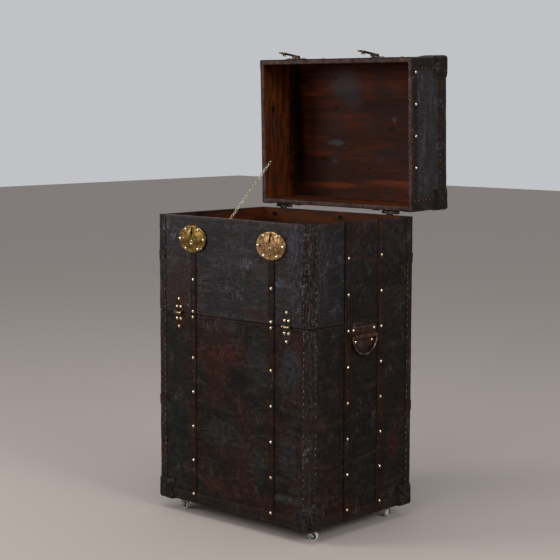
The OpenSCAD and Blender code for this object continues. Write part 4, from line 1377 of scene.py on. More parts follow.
@dataclass(frozen=True)
class Wood(Finish):
    """Stained softwood boards with knots, a grey cloudiness that is partly painted sheen, and
    marks, some of them painted shadow.
    """

    dark: str = "#27130b"
    light: str = "#3a1b10"
    bright: str = "#6b3016"
    # The grey cloud colour is partly painted sheen.
    hazy: str = "#2b211f"
    knot: str = "#0a0503"
    grain: tuple[float, float, float] = (0.0, 0.0, 0.0)
    marks: tuple[SoftMark, ...] = ()
    gloss: float = 0.05

    def draw(self, t: Paint) -> None:
        """Adds the wood's nodes.

        Args:
            t: the material's nodes.
        """
        wood = t.group(grain_group(), {"Place": t.stretched(t.place, (1, 1, 1), self.grain)})
        warm = t.times(t.times(wood["Broad"], wood["Stripe"]), 0.6)
        colour = t.cover(tint(self.dark), [
            (wood["Stripe"], self.light), (warm, self.bright),
            (t.times(wood["Cloud"], 0.45), self.hazy), (wood["Knot"], self.knot),
            *[mark.layer(t) for mark in self.marks]])
        rough = t.step(wood["Stripe"], 0, 1, (0.5, 0.62))
        t.finish({"Base Color": colour, "Roughness": rough, "Specular IOR Level": self.gloss},
                 wood["Height"], 0.0008)


@dataclass(frozen=True)
class Metal(Finish):
    """Old metal with tarnish, brushed along Z where it has streaks."""

    clean: str = "#c9a45c"
    tarnish: str = "#6a4a22"
    # The darkest colour is painted shade round the foot of a stud.
    dirt: str = "#0b0705"
    size: float = 60.0
    streak: float = 1.0
    clean_rough: float = 0.28
    tarnish_rough: float = 0.5
    dents: float = 0.0004
    marks: tuple[SoftMark, ...] = ()

    def draw(self, t: Paint) -> None:
        """Adds the metal's nodes.

        Args:
            t: the material's nodes.
        """
        patina = t.group(patina_group(), {"Place": t.stretched(t.place, (1, 1, self.streak)),
                                          "Size": self.size})
        # Over the tarnish goes the painted shade at a stud's foot, then the marks.
        colour = t.cover(tint(self.clean), [
            (patina["Mask"], self.tarnish), (t.times(patina["Dirt"], 0.85), self.dirt),
            *[mark.layer(t) for mark in self.marks]])
        rough = t.step(patina["Mask"], 0, 1, (self.clean_rough, self.tarnish_rough))
        t.finish({"Base Color": colour, "Roughness": rough, "Metallic": 1.0}, patina["Height"],
                 self.dents)


@dataclass(frozen=True)
class Thread(Finish):
    """Waxed linen thread."""

    pale: str = "#a89c8c"
    dirty: str = "#54463c"

    def draw(self, t: Paint) -> None:
        """Adds the thread's nodes.

        Args:
            t: the material's nodes.
        """
        share = t.step(t.noise(t.place, 38, 3, 0.6), 0.36, 0.6)
        twist = t.node("TexWave", {"Vector": t.place, "Scale": 900.0, "Distortion": 1.0})
        t.finish({"Base Color": t.cover(tint(self.pale), [(share, self.dirty)]),
                  "Roughness": t.step(share, 0, 1, (0.6, 0.75))}, twist.outputs["Fac"], 0.0001)


@dataclass(frozen=True)
class Wheel(Finish):
    """Pale clouded plastic with a dark web between the tread and the hub."""

    middle: tuple[float, float, float] = (0.0, 0.0, 0.0)
    axis: tuple[float, float, float] = (0.0, 1.0, 0.0)
    pale: str = "#d9d7d1"
    web: str = "#38342f"
    worn: str = "#8c8983"
    web_out: tuple[float, float] = (0.0094, 0.0104)
    web_in: tuple[float, float] = (0.0046, 0.0038)

    def draw(self, t: Paint) -> None:
        """Adds the plastic's nodes.

        Args:
            t: the material's nodes.
        """
        way = t.vector("SUBTRACT", t.place, self.middle)
        radius = t.length(t.vector("CROSS_PRODUCT", way, self.axis))
        pale = t.math("MAXIMUM", t.step(radius, *self.web_out), t.step(radius, *self.web_in))
        cloud = t.step(t.noise(t.place, 160, 4, 0.6), 0.4, 0.75)
        clouded = t.cover(tint(self.pale), [(t.times(cloud, 0.35), self.worn)])
        t.finish({"Base Color": t.mix(pale, tint(self.web), clouded),
                  "Roughness": t.step(cloud, 0, 1, (0.25, 0.45))},
                 t.noise(t.place, 260, 3), 0.0001)

    @classmethod
    def of(cls, tag: str) -> "Wheel":
        """The finish of one castor's wheel."""
        row = joint(f"castor_roll_{tag}")
        return cls(f"wheel_plastic_{tag}", Slot.WHEEL, tuple(row["pos_m"]), tuple(row["axis"]))


def flat_marks(y: float, depth: float, rows: Sequence[tuple]) -> tuple[SoftMark, ...]:
    """Marks on a face square to Y: the x, z, reach on x and z, colour and share of each."""
    return tuple(SoftMark((x, y, z), (wide, depth, high), colour, share)
                 for x, z, wide, high, colour, share in rows)


FRONT_Y, PLATE_Y, PANEL_Y = -0.288, -0.29, 0.284
FLAP_MARKS = (
    SoftMark((-0.190, FRONT_Y, 0.66), (0.10, 0.2, 0.14), "#30110d", 0.7),
    SoftMark((0.292, -0.200, 0.66), (0.03, 0.16, 0.24), "#161413", 0.65),
    *flat_marks(FRONT_Y, 0.2, (
        (0.095, 0.60, 0.08, 0.03, "#33130f", 0.6), (-0.045, 0.805, 0.05, 0.025, "#0b090a", 0.6),
        # The blue-grey marks (#373841, #42434f, #5d6374) are painted sheen; the others are tones of
        # the hide.
        (-0.050, 0.69, 0.07, 0.03, "#0e0b0b", 0.5), (0.060, 0.735, 0.07, 0.02, "#373841", 0.5),
        (0.240, 0.80, 0.05, 0.05, "#42434f", 0.5), (0.177, 0.688, 0.02, 0.012, "#5d6374", 0.6))))
FRONT_MARKS = (
    SoftMark((0.290, 0.020, 0.38), (0.08, 0.42, 0.62), "#141411", 0.6),
    SoftMark((-0.290, 0.020, 0.38), (0.08, 0.42, 0.62), "#141411", 0.6),
    *flat_marks(FRONT_Y, 0.1, (
        (-0.215, 0.30, 0.075, 0.42, "#1a1c19", 0.7), (0.262, 0.535, 0.03, 0.07, "#3f170f", 0.7),
        (-0.043, 0.478, 0.085, 0.03, "#451a0e", 0.6), (-0.060, 0.395, 0.045, 0.10, "#38150c", 0.6),
        (0.095, 0.462, 0.055, 0.10, "#2d3233", 0.5), (0.019, 0.400, 0.045, 0.06, "#0c0b09", 0.6),
        (0.214, 0.464, 0.055, 0.09, "#37383c", 0.55), (-0.044, 0.255, 0.095, 0.05, "#3c3b38", 0.42),
        (-0.016, 0.200, 0.09, 0.03, "#37201c", 0.5), (-0.066, 0.105, 0.07, 0.03, "#452210", 0.45),
        (0.100, 0.190, 0.045, 0.07, "#2e302e", 0.55), (0.208, 0.225, 0.050, 0.07, "#303134", 0.5),
        (0.262, 0.257, 0.020, 0.06, "#421b0f", 0.6), (0.190, 0.11, 0.06, 0.014, "#4a4a4c", 0.5),
        (-0.004, 0.55, 0.04, 0.025, "#474241", 0.35))),
    SoftMark((0.288, 0.060, 0.216), (0.05, 0.045, 0.06), "#3a160c", 0.6))
HIDE_BOX = Leather(
    "box_hide", Slot.HIDE, base="#100e0a", blotch="#2d140c", hazy="#3a2f29", upper=0.45,
    upper_tint="#333336", haze=0.6, gloss=0.08, rough=0.5, scuffs=0.4, scuffed="#5d5654",
    marks=FRONT_MARKS)
HIDE_FLAP = Leather(
    "flap_hide", Slot.HIDE, base="#0e0c0b", blotch="#29120e", hazy="#433d41", upper=0.42,
    upper_tint="#333236", haze=0.7, gloss=0.15, rough=0.38, scuffs=0.5, folds=0.2, marks=FLAP_MARKS)
HIDE_LID = Leather(
    "lid_hide", Slot.HIDE, base="#1b1818", blotch="#231d1c", hazy="#3b393f", haze=0.8, scuffs=0.3,
    gloss=0.2, rough=0.42, fibre=(62.0, 62.0, 11.0))
BINDING = Leather(
    "binding_leather", Slot.TRIM, base="#0e0b08", blotch="#22110a", worn="#4c2c1e",
    scuffed="#6c6867", scuffs=0.5, haze=0.2, gloss=0.11, rough=0.36, folds=0.0)
CAP_LEATHER = Leather(
    "cap_leather", Slot.TRIM, base="#0d0a08", blotch="#1c110c", worn="#33251f", scuffs=0.4,
    haze=0.1, gloss=0.1, rough=0.36, wrinkles=1.0, folds=0.0)
RIM_LEATHER = Leather(
    "rim_leather", Slot.TRIM, base="#27150f", blotch="#3e241b", hazy="#4f3832", worn="#5f453e",
    scuffs=0.4, haze=0.8, gloss=0.16)
STRAP_LEATHER = Leather(
    "strap_hide", Slot.STRAP, base="#1f1009", blotch="#34190c", worn="#66391b", hazy="#36271f",
    scuffs=0.25, haze=0.35, upper=0.25)
PAD_LEATHER = Leather(
    "pad_leather", Slot.TRIM, base="#28140c", blotch="#3a1d10", worn="#7a4a27", hazy="#3d2a22",
    scuffs=0.3, haze=0.3, gloss=0.14, rough=0.46)
PATCH_TAN = Leather(
    "tan_patch_leather", Slot.TRIM, base="#29150d", blotch="#3f2012", worn="#7a4424",
    hazy="#4a2c1c", scuffs=0.4, haze=0.5)
PATCH_DARK = Leather(
    "dark_patch_leather", Slot.TRIM, base="#1a0f0c", blotch="#2c1813", worn="#3e2a24", scuffs=0.5,
    haze=0.4, gloss=0.16)
THREAD = Thread("linen_thread", Slot.TRIM, pale="#b0a492", dirty="#44392f")
DARK_THREAD = Thread("waxed_thread", Slot.TRIM, pale="#4d4138", dirty="#1f1814")
STUD_BRASS = Metal(
    "stud_brass", Slot.BRASS, clean="#f7ebd2", tarnish="#cfb488", size=260.0, clean_rough=0.16,
    tarnish_rough=0.28, dents=0.0001)
PLATE_LEFT = Metal(
    "left_plate_brass", Slot.BRASS, clean="#7a6233", tarnish="#453318", size=75.0, clean_rough=0.36,
    tarnish_rough=0.55, marks=flat_marks(PLATE_Y, 0.1, (
        # The near-black mark round the slot is painted shade.
        (-0.1495, 0.808, 0.006, 0.0175, "#090604", 0.95),
        (-0.180, 0.790, 0.010, 0.006, "#6b3a22", 0.5))))
PLATE_RIGHT = Metal(
    "right_plate_brass", Slot.BRASS, clean="#967651", tarnish="#5c422a", size=95.0, streak=0.5,
    clean_rough=0.36, tarnish_rough=0.55, marks=flat_marks(PLATE_Y, 0.1, (
        # The near-black mark round the slot is painted shade.
        (0.1495, 0.808, 0.006, 0.0175, "#090604", 0.95),
        (0.118, 0.790, 0.009, 0.009, "#3a1c12", 0.6),
        (0.176, 0.786, 0.010, 0.006, "#2e1a10", 0.5))))
PLATE_TRIM = Metal("plate_trim_brass", Slot.BRASS, clean="#c9ae84", tarnish="#5f4729", size=150.0)
BRASS = Metal("hinge_brass", Slot.BRASS, clean="#94805f", tarnish="#3a2a1b", size=140.0)
BRONZE = Metal(
    "dark_bronze", Slot.DARK_BRASS, clean="#6e5a4b", tarnish="#37281f", size=80.0, clean_rough=0.36)
CHAIN_METAL = Metal("pale_brass", Slot.CHAIN, clean="#e0dcc0", tarnish="#9a9274", size=120.0)
STEEL = Metal("dull_steel", Slot.STEEL, clean="#c9c8c4", tarnish="#6a6660", size=90.0)
IRON = Metal(
    "blackened_iron", Slot.STEEL, clean="#37302b", tarnish="#15110e", size=90.0, clean_rough=0.4,
    tarnish_rough=0.6)
# Marks on the lid's panel: the blue-grey ones at the top (#403f44, #3b3a40) are painted sheen and
# the near-black one along the left edge (#070403) is painted shadow in the corner; the others are
# tones of the wood.
PANEL_MARKS = flat_marks(PANEL_Y, 0.1, (
    (-0.072, 1.215, 0.075, 0.062, "#403f44", 0.6), (-0.045, 1.175, 0.05, 0.04, "#3b3a40", 0.5),
    (-0.115, 1.044, 0.05, 0.012, "#3e4443", 0.7), (-0.268, 1.085, 0.04, 0.30, "#070403", 0.85),
    (-0.02, 1.17, 0.28, 0.05, "#1a100d", 0.4), (-0.215, 1.192, 0.05, 0.008, "#8a3c16", 0.5),
    (-0.130, 0.917, 0.15, 0.014, "#7c3415", 0.45), (0.120, 0.930, 0.16, 0.013, "#7c3b1c", 0.4),
    (-0.190, 1.012, 0.07, 0.012, "#6d2c12", 0.4), (-0.112, 1.146, 0.012, 0.010, "#0a0504", 0.8),
    (-0.111, 1.238, 0.010, 0.008, "#0a0504", 0.8), (0.110, 1.116, 0.012, 0.010, "#55504f", 0.45),
    (-0.122, 0.990, 0.014, 0.010, "#37343a", 0.6), (0.059, 0.997, 0.014, 0.010, "#3c2f2e", 0.6),
    (0.012, 0.969, 0.010, 0.007, "#0d0706", 0.8)))
BOARD_PANEL = Wood("lid_panel_boards", Slot.WOOD, marks=PANEL_MARKS)
BOARD_ACROSS = Wood("boards_across", Slot.WOOD, dark="#2c160c", light="#52290f", bright="#7c3e1a")
BOARD_DEEP = Wood("boards_front_to_back", Slot.WOOD, grain=(0.0, 0.0, math.pi / 2))
# The near-black mark is painted shadow at the back of the lid's left wall.
BOARD_UP = Wood(
    "boards_upright", Slot.WOOD, grain=(0.0, math.pi / 2, 0.0), dark="#30160a", light="#6d3313",
    bright="#8c4419", marks=(SoftMark((-0.27, 0.285, 1.085), (0.06, 0.075, 0.34), "#070403", 0.85),))


def dress(finish: Finish, *nodes: str) -> None:
    """Gives CAD nodes their material.

    Args:
        finish: what they are made of.
        nodes: the nodes' names.
    """
    for name in nodes:
        mesh = frame["nodes"][name].data
        for i in range(max(1, len(mesh.materials))):
            if i < len(mesh.materials):
                mesh.materials[i] = finish.material()
            else:
                mesh.materials.append(finish.material())
        log.info("%s: CAD shape, %s", name, finish.name)


@dataclass
class Straps:
    """The places and sizes of the straps and of the studs on them."""

    thick: float = 2.5
    width: float = 23.0
    side_width: float = 27.0
    x: float = 149.5
    side_ys: tuple[float, float] = (150.5, 289.0)
    front_low: float = 27.0
    front_step: float = 97.5
    side_low: float = 31.0
    side_step: float = 98.0
    seam_stud: float = 8.0
    stud_d: float = 9.5
    room: float = 0.3
    corner: float = 8.0

    def side_heights(self) -> list[float]:
        """The heights of the studs on the side and back straps.

        Returns:
            The heights, from the bottom up.
        """
        height = SIZE.rim - SIZE.bottom
        count = int((height - self.side_low - self.stud_d) // self.side_step) + 1
        return [SIZE.bottom + self.side_low + i * self.side_step for i in range(count)]


STRAPS = Straps()


def stud_place(face: Face, across: float, up: float, out: float) -> tuple[np.ndarray, np.ndarray]:
    """Where a stud stands, with a small tilt of its own.

    Args:
        face: the face that it stands on.
        across: its place across the face.
        up: its place up the face.
        out: the height of its foot over the hide.

    Returns:
        Its axes and its foot.
    """
    spot = face.spot(across, up)
    tilt = 0.05 * float(WOBBLE.at(spot, 3.1))
    along = np.array(face.value[1], float)
    axes = axes_for(face.normal + along * tilt, along - face.normal * tilt)
    return axes, face.spot(across, up, out + float(swell(spot)))


def make_studs(name: str, body: str, node: str, places: Sequence, rivets: Sequence = (),
               stand: Stand = Stand.BOX) -> None:
    """Makes the studs of one sub-assembly.

    Args:
        name: the piece's name.
        body: the CAD body that it moves with.
        node: the CAD node that it stands for.
        places: the studs' places.
        rivets: the places of the small rivets.
        stand: whether they are drawn on the box or on the shut lid.
    """
    draft = Draft()
    draft.copies(*STUD, places, STUD_FOOT_SHADE)
    draft.copies(*RIVET, rivets)
    draft.make(name, STUD_BRASS, body, [node], stand, sharp=75)


@dataclass(frozen=True)
class Edging:
    """The bindings over the upright edges of box and flap, and the patches over the bindings."""

    width: float = 26.0
    patch_widths: tuple[float, float] = (25.0, 24.0)
    patch_height: float = 28.0
    patch_thick: float = 1.9
    patch_lift: float = 1.4
    patch_up: float = 685.0
    patch_low: float = 268.0

    def bind(self, leather: Draft, thread: Draft, side: int, end: tuple, low: float,
             high: float) -> None:
        """Adds a binding and its stitches over an upright edge at one of SIZE.ends."""
        EdgeWrap.upright(side, end, low, high, (self.width, self.width),
                         seed=3 + side).draw(leather, thread)

    def patch(self, leather: Draft, side: int, end: tuple, up: float, seed: int) -> None:
        """Adds a patch over a binding.

        Args:
            leather: the piece that gets it.
            side: -1 for the left and 1 for the right.
            end: the front or the back, as SIZE.ends gives them.
            up: its height over the box's bottom.
            seed: shifts its own unevenness.
        """
        z = SIZE.bottom + up
        EdgeWrap.upright(side, end, z, z + self.patch_height, self.patch_widths,
                         thick=self.patch_thick, lift=self.patch_lift, stitched=False,
                         seed=seed).draw(leather)


EDGING = Edging()


def rim_profile() -> list[tuple[float, float, bool]]:
    """The hide's section over the rim of box and flap, down to the boards' top.

    Returns:
        (inset, height, on the hide) of each point.
    """
    rim, inner, under = SIZE.rim, SIZE.inner, SIZE.rim - SIZE.turn
    return [(0.0, rim - 1.8, True), (0.5, rim - 0.6, True), (1.8, rim, False),
            (6.0, rim + 0.1, False), (inner - 0.8, rim, False), (inner, rim - 0.5, False),
            (inner, under, False), (SIZE.skin, under, False)]


def front_gaps() -> list[tuple[float, float]]:
    """The stretches on X between the straps on the front, back and lid."""
    half, x, last = STRAPS.width / 2 + STRAPS.room, STRAPS.x, SIZE.half - STRAPS.corner
    return [(-last, -x - half), (-x + half, x - half), (x + half, last)]


@dataclass
class TrunkBox:
    """The lower box: hide, bindings, corner caps, straps and studs."""

    bottom_binding: float = 30.0
    bottom_turn: float = 20.0
    lining: float = 22.0
    pad_studs: tuple = ((-43, 18.5), (43, 18.5), (-34, -13.5), (34, -13.5))

    def build(self) -> None:
        """Builds all pieces of the box."""
        self.hide()
        self.bindings()
        self.caps()
        self.straps()
        self.studs()
        dress(BOARD_ACROSS, "floor_board", "front_board", "back_board")
        dress(BOARD_DEEP, "left_side_board", "right_side_board")
        dress(STEEL, "castor_plates", "castor_screws", "chain_body_screw")
        dress(IRON, "back_hinge_body_leaves")
        dress(BRASS, "front_hinge_lower_leaves", "hinge_pins")

    def hide(self) -> None:
        """Builds the hide round the box, turned over the rim and in behind the flap's wings."""
        s, draft = SIZE, Draft()
        w, d, inner = s.half, s.depth, s.inner
        loop = WallPath([(-w, 0), (w, 0), (w, d), (-w, d)], closed=True)
        low = [(0.0, z, True) for z in levels(s.bottom, s.seam_low)]
        sweep_walls(draft, loop, low + [(s.skin, s.seam_low, False), (s.skin, s.bottom, False)])
        back = WallPath([(w, s.wing + 1), (w, d), (-w, d), (-w, s.wing + 1)], closed=False)
        high = [(0.0, z, True) for z in levels(s.seam_low, s.rim)[:-3]]
        sweep_walls(draft, back, high + rim_profile() + [(s.skin, s.seam_low, False)])
        for side in SIDES:
            x_out, x_in, edge, top = side * (w - 0.6), side * (w - inner), s.wing + 1, s.rim - 0.3
            self.strip(draft, (x_out, edge, s.seam_low), (x_in, edge + s.turn, top))
            self.strip(draft, (x_in, edge, s.seam_low), (x_in - side, edge + self.lining, top))
            self.strip(draft, (x_out, 0.8, s.seam_low - s.turn), (x_in, edge, s.seam_low))
        self.strip(draft, (-w + 1, 0.8, s.seam_low - s.turn), (w - 1, inner, s.seam_low))
        draft.make("body_hide", HIDE_BOX, "trunk", ["body_leather"])

    @staticmethod
    def strip(draft: Draft, low: Sequence[float], high: Sequence[float]) -> None:
        """Adds a thin flat strip of turned-in leather.

        Args:
            draft: the piece.
            low: one corner.
            high: the opposite corner.
        """
        low, high = np.minimum(low, high), np.maximum(low, high)
        size = high - low
        thin = int(np.argmin(size))
        others = [k for k in range(3) if k != thin]
        at = [np.linspace(low[k], high[k], max(2, int(size[k] / 6)) + 1) for k in others]
        sheets = []
        for level in (low[thin], high[thin]):
            sheet = np.empty((len(at[0]), len(at[1]), 3))
            sheet[..., others[0]], sheet[..., others[1]] = np.meshgrid(*at, indexing="ij")
            sheet[..., thin] = level
            sheets.append(sheet)
        draft.slab(*sheets)

    def bindings(self) -> None:
        """Builds the stitched bindings along the box's edges and the patches over them."""
        s, leather, thread, low_thread = SIZE, Draft(), Draft(), Draft()
        for side in SIDES:
            x, into = side * s.half, (-side, 0, 0)
            for end, top in zip(s.ends, (s.seam_low, s.rim)):
                EDGING.bind(leather, thread, side, end, s.bottom + 8, top - 0.3)
                for up in [EDGING.patch_low] + ([EDGING.patch_up] if end[0] else []):
                    EDGING.patch(leather, side, end, up, seed=int(up))
            for low, high in self.side_gaps():
                EdgeWrap((x, low, s.bottom), (x, high, s.bottom), (0, 0, 1), into,
                         self.bottom_binding, self.bottom_turn, seed=9).draw(leather, low_thread)
        for low, high in front_gaps():
            for y, along in s.ends:
                EdgeWrap((low, y, s.bottom), (high, y, s.bottom), (0, 0, 1), along,
                         self.bottom_binding, self.bottom_turn, seed=21).draw(leather, low_thread)
        leather.make("body_bindings", BINDING, "trunk", ["body_edge_bindings"])
        thread.make("body_stitches", THREAD, "trunk")
        low_thread.make("bottom_stitches", DARK_THREAD, "trunk")

    @staticmethod
    def side_gaps() -> list[tuple[float, float]]:
        """The stretches between the side straps.

        Returns:
            The first and last place on Y of each.
        """
        half, corner = STRAPS.side_width / 2 + STRAPS.room, STRAPS.corner
        first, second = STRAPS.side_ys
        return [(corner, first - half), (first + half, second - half),
                (second + half, SIZE.depth - corner)]

    def caps(self) -> None:
        """Builds the four bottom corner caps."""
        draft = four_caps(SIZE.bottom, 1, self.bottom_turn, seed=1)
        draft.make("body_caps", CAP_LEATHER, "trunk", ["body_corner_caps"])

    def straps(self) -> None:
        """Builds the box's straps."""
        s, draft = SIZE, Draft()
        for side in SIDES:
            x = side * STRAPS.x
            upright_strap(draft, Face.FRONT, x, s.bottom, s.seam_low - 0.3, side + 2)
            upright_strap(draft, Face.BACK, x, s.bottom, s.rim - 0.3, side + 5)
            for k, y in enumerate(STRAPS.side_ys):
                upright_strap(draft, Face.of_side(side), y, s.bottom, s.rim - 0.3, side + 8 + k)
        draft.make("body_strap_bands", STRAP_LEATHER, "trunk", ["body_straps"])

    def studs(self) -> None:
        """Builds the box's studs."""
        s, places = SIZE, []
        height = s.seam_low + 1 - s.bottom
        count = int((height - STRAPS.seam_stud - STRAPS.front_step / 2 - STRAPS.front_low)
                    // STRAPS.front_step) + 1
        for side in SIDES:
            face = Face.of_side(side)
            ups = [STRAPS.front_low + i * STRAPS.front_step for i in range(count)]
            for up in ups + [height - STRAPS.seam_stud]:
                places.append(stud_place(Face.FRONT, side * STRAPS.x, s.bottom + up, STRAPS.thick))
            for z in STRAPS.side_heights():
                places.append(stud_place(Face.BACK, side * STRAPS.x, z, STRAPS.thick))
                for y in STRAPS.side_ys:
                    places.append(stud_place(face, y, z, STRAPS.thick))
            for dy, dz in self.pad_studs:
                places.append(stud_place(face, HANDLE.y + dy, HANDLE.z + dz, HANDLE.pad))
            places += HingePatch(side, -1).stud_places()
        make_studs("body_stud_heads", "trunk", "body_studs", places)


@dataclass(frozen=True)
class HingePatch:
    """A leather patch over one half of a front hinge, with its three studs.

    The side is -1 for the left hinge and 1 for the right one. The way is 1 above the seam and -1
    below it. Places on the patch are measured from the hinge's middle and from the seam.
    """

    side: int
    way: int
    x: float = 206.0
    low: float = 5.3
    shoulder: float = 34.0
    top: float = 50.0
    half: float = 16.0
    tip_half: float = 3.0
    tip_fade: float = 14.0
    border: float = 0.5
    puff: float = 1.9
    groove: float = 0.35
    groove_at: float = 0.22
    leaf: tuple[float, float] = (13.3, 31.0)
    over_leaf: float = 1.42
    studs: tuple = ((-7.5, 17.0), (7.5, 17.0), (0.0, 39.0))
    stud_out: float = 2.4

    def spot(self, across: float, up: float) -> tuple[float, float]:
        """Turns a place on the patch into one on the trunk's front."""
        return self.side * self.x + across, SIZE.seam_low + 1 + self.way * up

    def stud_places(self) -> list[tuple[np.ndarray, np.ndarray]]:
        """Where the patch's studs stand."""
        return [stud_place(Face.FRONT, *self.spot(*stud), self.stud_out) for stud in self.studs]

    def width_at(self, up: float) -> float:
        """Half the patch's width at a height, which narrows over the shoulder."""
        share = (self.half - self.tip_half) * (self.top - up) / (self.top - self.shoulder)
        return self.half if up <= self.shoulder else self.tip_half + share

    def draw(self, draft: Draft) -> None:
        """Adds the patch.

        Args:
            draft: the piece.
        """
        front = Face.FRONT
        ups = np.concatenate([np.linspace(self.low, self.shoulder, 12),
                              np.linspace(self.shoulder + 2, self.top, 8)])
        shares = np.array([-1, -0.96, -0.86, -0.7, -0.4, 0, 0.4, 0.7, 0.86, 0.96, 1.0])
        leaf_half, leaf_top = self.leaf
        outer, inner, wear, soil = [], [], [], []
        for up in ups:
            half = self.width_at(up)
            base = np.array([front.spot(*self.spot(half * q, up)) for q in shares])
            edge = np.minimum(1 - np.abs(shares), (self.top - up) / self.tip_fade)
            groove = bump_at(edge, self.groove_at, 0.05)
            height = self.border + self.puff * smooth(edge, -0.01, 0.13) - self.groove * groove
            leaf = (np.abs(shares * half) < leaf_half) & (up < leaf_top)
            lump = 0.12 * WOBBLE.at(base, 6)
            outer.append(base + front.normal * (height + lump)[:, None])
            inner.append(base + front.normal * np.where(leaf, self.over_leaf, -0.6)[:, None])
            wear.append(bump_at(edge, 0.06, 0.06) * 0.9)
            # Painted shade in the groove near the patch's border.
            soil.append(0.7 * groove)
        over, under = np.stack(outer), np.stack(inner)
        over[..., 1] = np.minimum(over[..., 1], under[..., 1] - 0.3)
        draft.slab(over, under, wear, soil)


@dataclass
class Handles:
    """The two side handles' leather pads, and the loops over the rings' bars."""

    y: float = 215.0
    z: float = 539.0
    pad: float = 2.5
    ring_out: float = 7.0
    wire: float = 3.5
    loop: float = 2.4
    half: float = 54.75
    top: float = 27.0
    low: float = -39.0
    loop_half: float = 44.5
    border: float = 0.3
    groove: float = 0.4
    stitch_in: float = 4.5
    stitch_end: float = 6.0
    stitch_step: float = 11.0

    def build(self) -> None:
        """Builds both handles."""
        draft, thread = Draft(), Draft()
        for side in SIDES:
            self.shield(draft, thread, side)
            self.ridge(draft, side)
        draft.make("handle_pads", PAD_LEATHER, "trunk", ["handle_loops"])
        thread.make("handle_stitches", DARK_THREAD, "trunk")
        dress(BRONZE, "left_handle_ring", "right_handle_ring")

    def width_at(self, up: float) -> float:
        """Half the pad's width at a height from the bar."""
        ups = [self.low, -20, 6, self.top]
        return float(np.interp(up, ups, [6, self.half - 6, self.half, self.half]))

    def shield(self, draft: Draft, thread: Draft, side: int) -> None:
        """Adds one pad with its stitches.

        Args:
            draft: the piece that gets the pad.
            thread: the piece that gets the stitches.
            side: -1 for the left and 1 for the right.
        """
        face = Face.of_side(side)
        ups = np.linspace(self.low, self.top, 27)
        shares = np.concatenate([[-1, -0.985, -0.95, -0.9], np.linspace(-0.82, 0.82, 19),
                                 [0.9, 0.95, 0.985, 1]])
        outer, inner, wear = [], [], []
        for up in ups:
            half = self.width_at(up)
            base = np.array([face.spot(self.y + half * q, self.z + up) for q in shares])
            edge = np.minimum((1 - np.abs(shares)) * half, np.minimum(up - self.low, self.top - up))
            groove = self.groove * bump_at(edge, self.stitch_in, 1.2)
            height = self.border + (self.pad - self.border) * smooth(edge, -0.1, 1.6) - groove
            height = height + 0.15 * WOBBLE.at(base, 9)
            hide = swell(base)
            outer.append(base + face.normal * (hide + height)[:, None])
            inner.append(base + face.normal * (hide - SUNK)[:, None])
            wear.append(bump_at(edge, 1.0, 1.2) * 0.8)
        draft.slab(outer, inner, wear)
        form, faces = stitch_form()
        places = []
        last = self.half - self.stitch_in
        for y in np.arange(self.stitch_end - last, last, self.stitch_step):
            spot = face.spot(self.y + y, self.z + self.top - self.stitch_in)
            out = float(swell(spot)) + self.pad - 0.1
            places.append((axes_for(face.normal, (0, 1, 0)), spot + face.normal * out))
        thread.copies(form, faces, places)

    def ridge(self, draft: Draft, side: int) -> None:
        """Adds the loop of leather over one bar.

        Args:
            draft: the piece.
            side: -1 for the left and 1 for the right.
        """
        face = Face.of_side(side)
        turns = np.radians(np.linspace(90, -90, 13))

        def path(r: float) -> np.ndarray:
            """The loop's outline over the bar.

            Args:
                r: its distance from the bar's middle.

            Returns:
                The distance out and the height of each point.
            """
            arc = np.stack([self.ring_out + r * np.cos(turns), r * np.sin(turns)], 1)
            outs = (0.4, self.ring_out / 2)
            back = [[out, -r] for out in outs[::-1]]
            return np.concatenate([[[out, r] for out in outs], arc, back])

        ys = np.linspace(-self.loop_half, self.loop_half, 34)
        outer, inner = [], []
        for r, rows, puff in ((self.wire + self.loop, outer, 1.0), (self.wire + 0.1, inner, 0.0)):
            for out, up in path(r):
                base = np.array([face.spot(self.y + y, self.z + up, out) for y in ys])
                ends = smooth(self.loop_half - np.abs(ys), 0, 5)
                lump = puff * (0.22 * WOBBLE.at(base, 11) - 0.5 * (1 - ends))
                way = np.array([out - self.ring_out, up])
                way = way / max(np.linalg.norm(way), 1e-6)
                base = base + (face.normal * way[0] + np.array([0, 0, way[1]])) * lump[:, None]
                rows.append(base)
        draft.slab(outer, inner, np.clip(0.5 + 0.5 * DENT.at(outer, 9), 0, 1) * 0.5)


HANDLE = Handles()


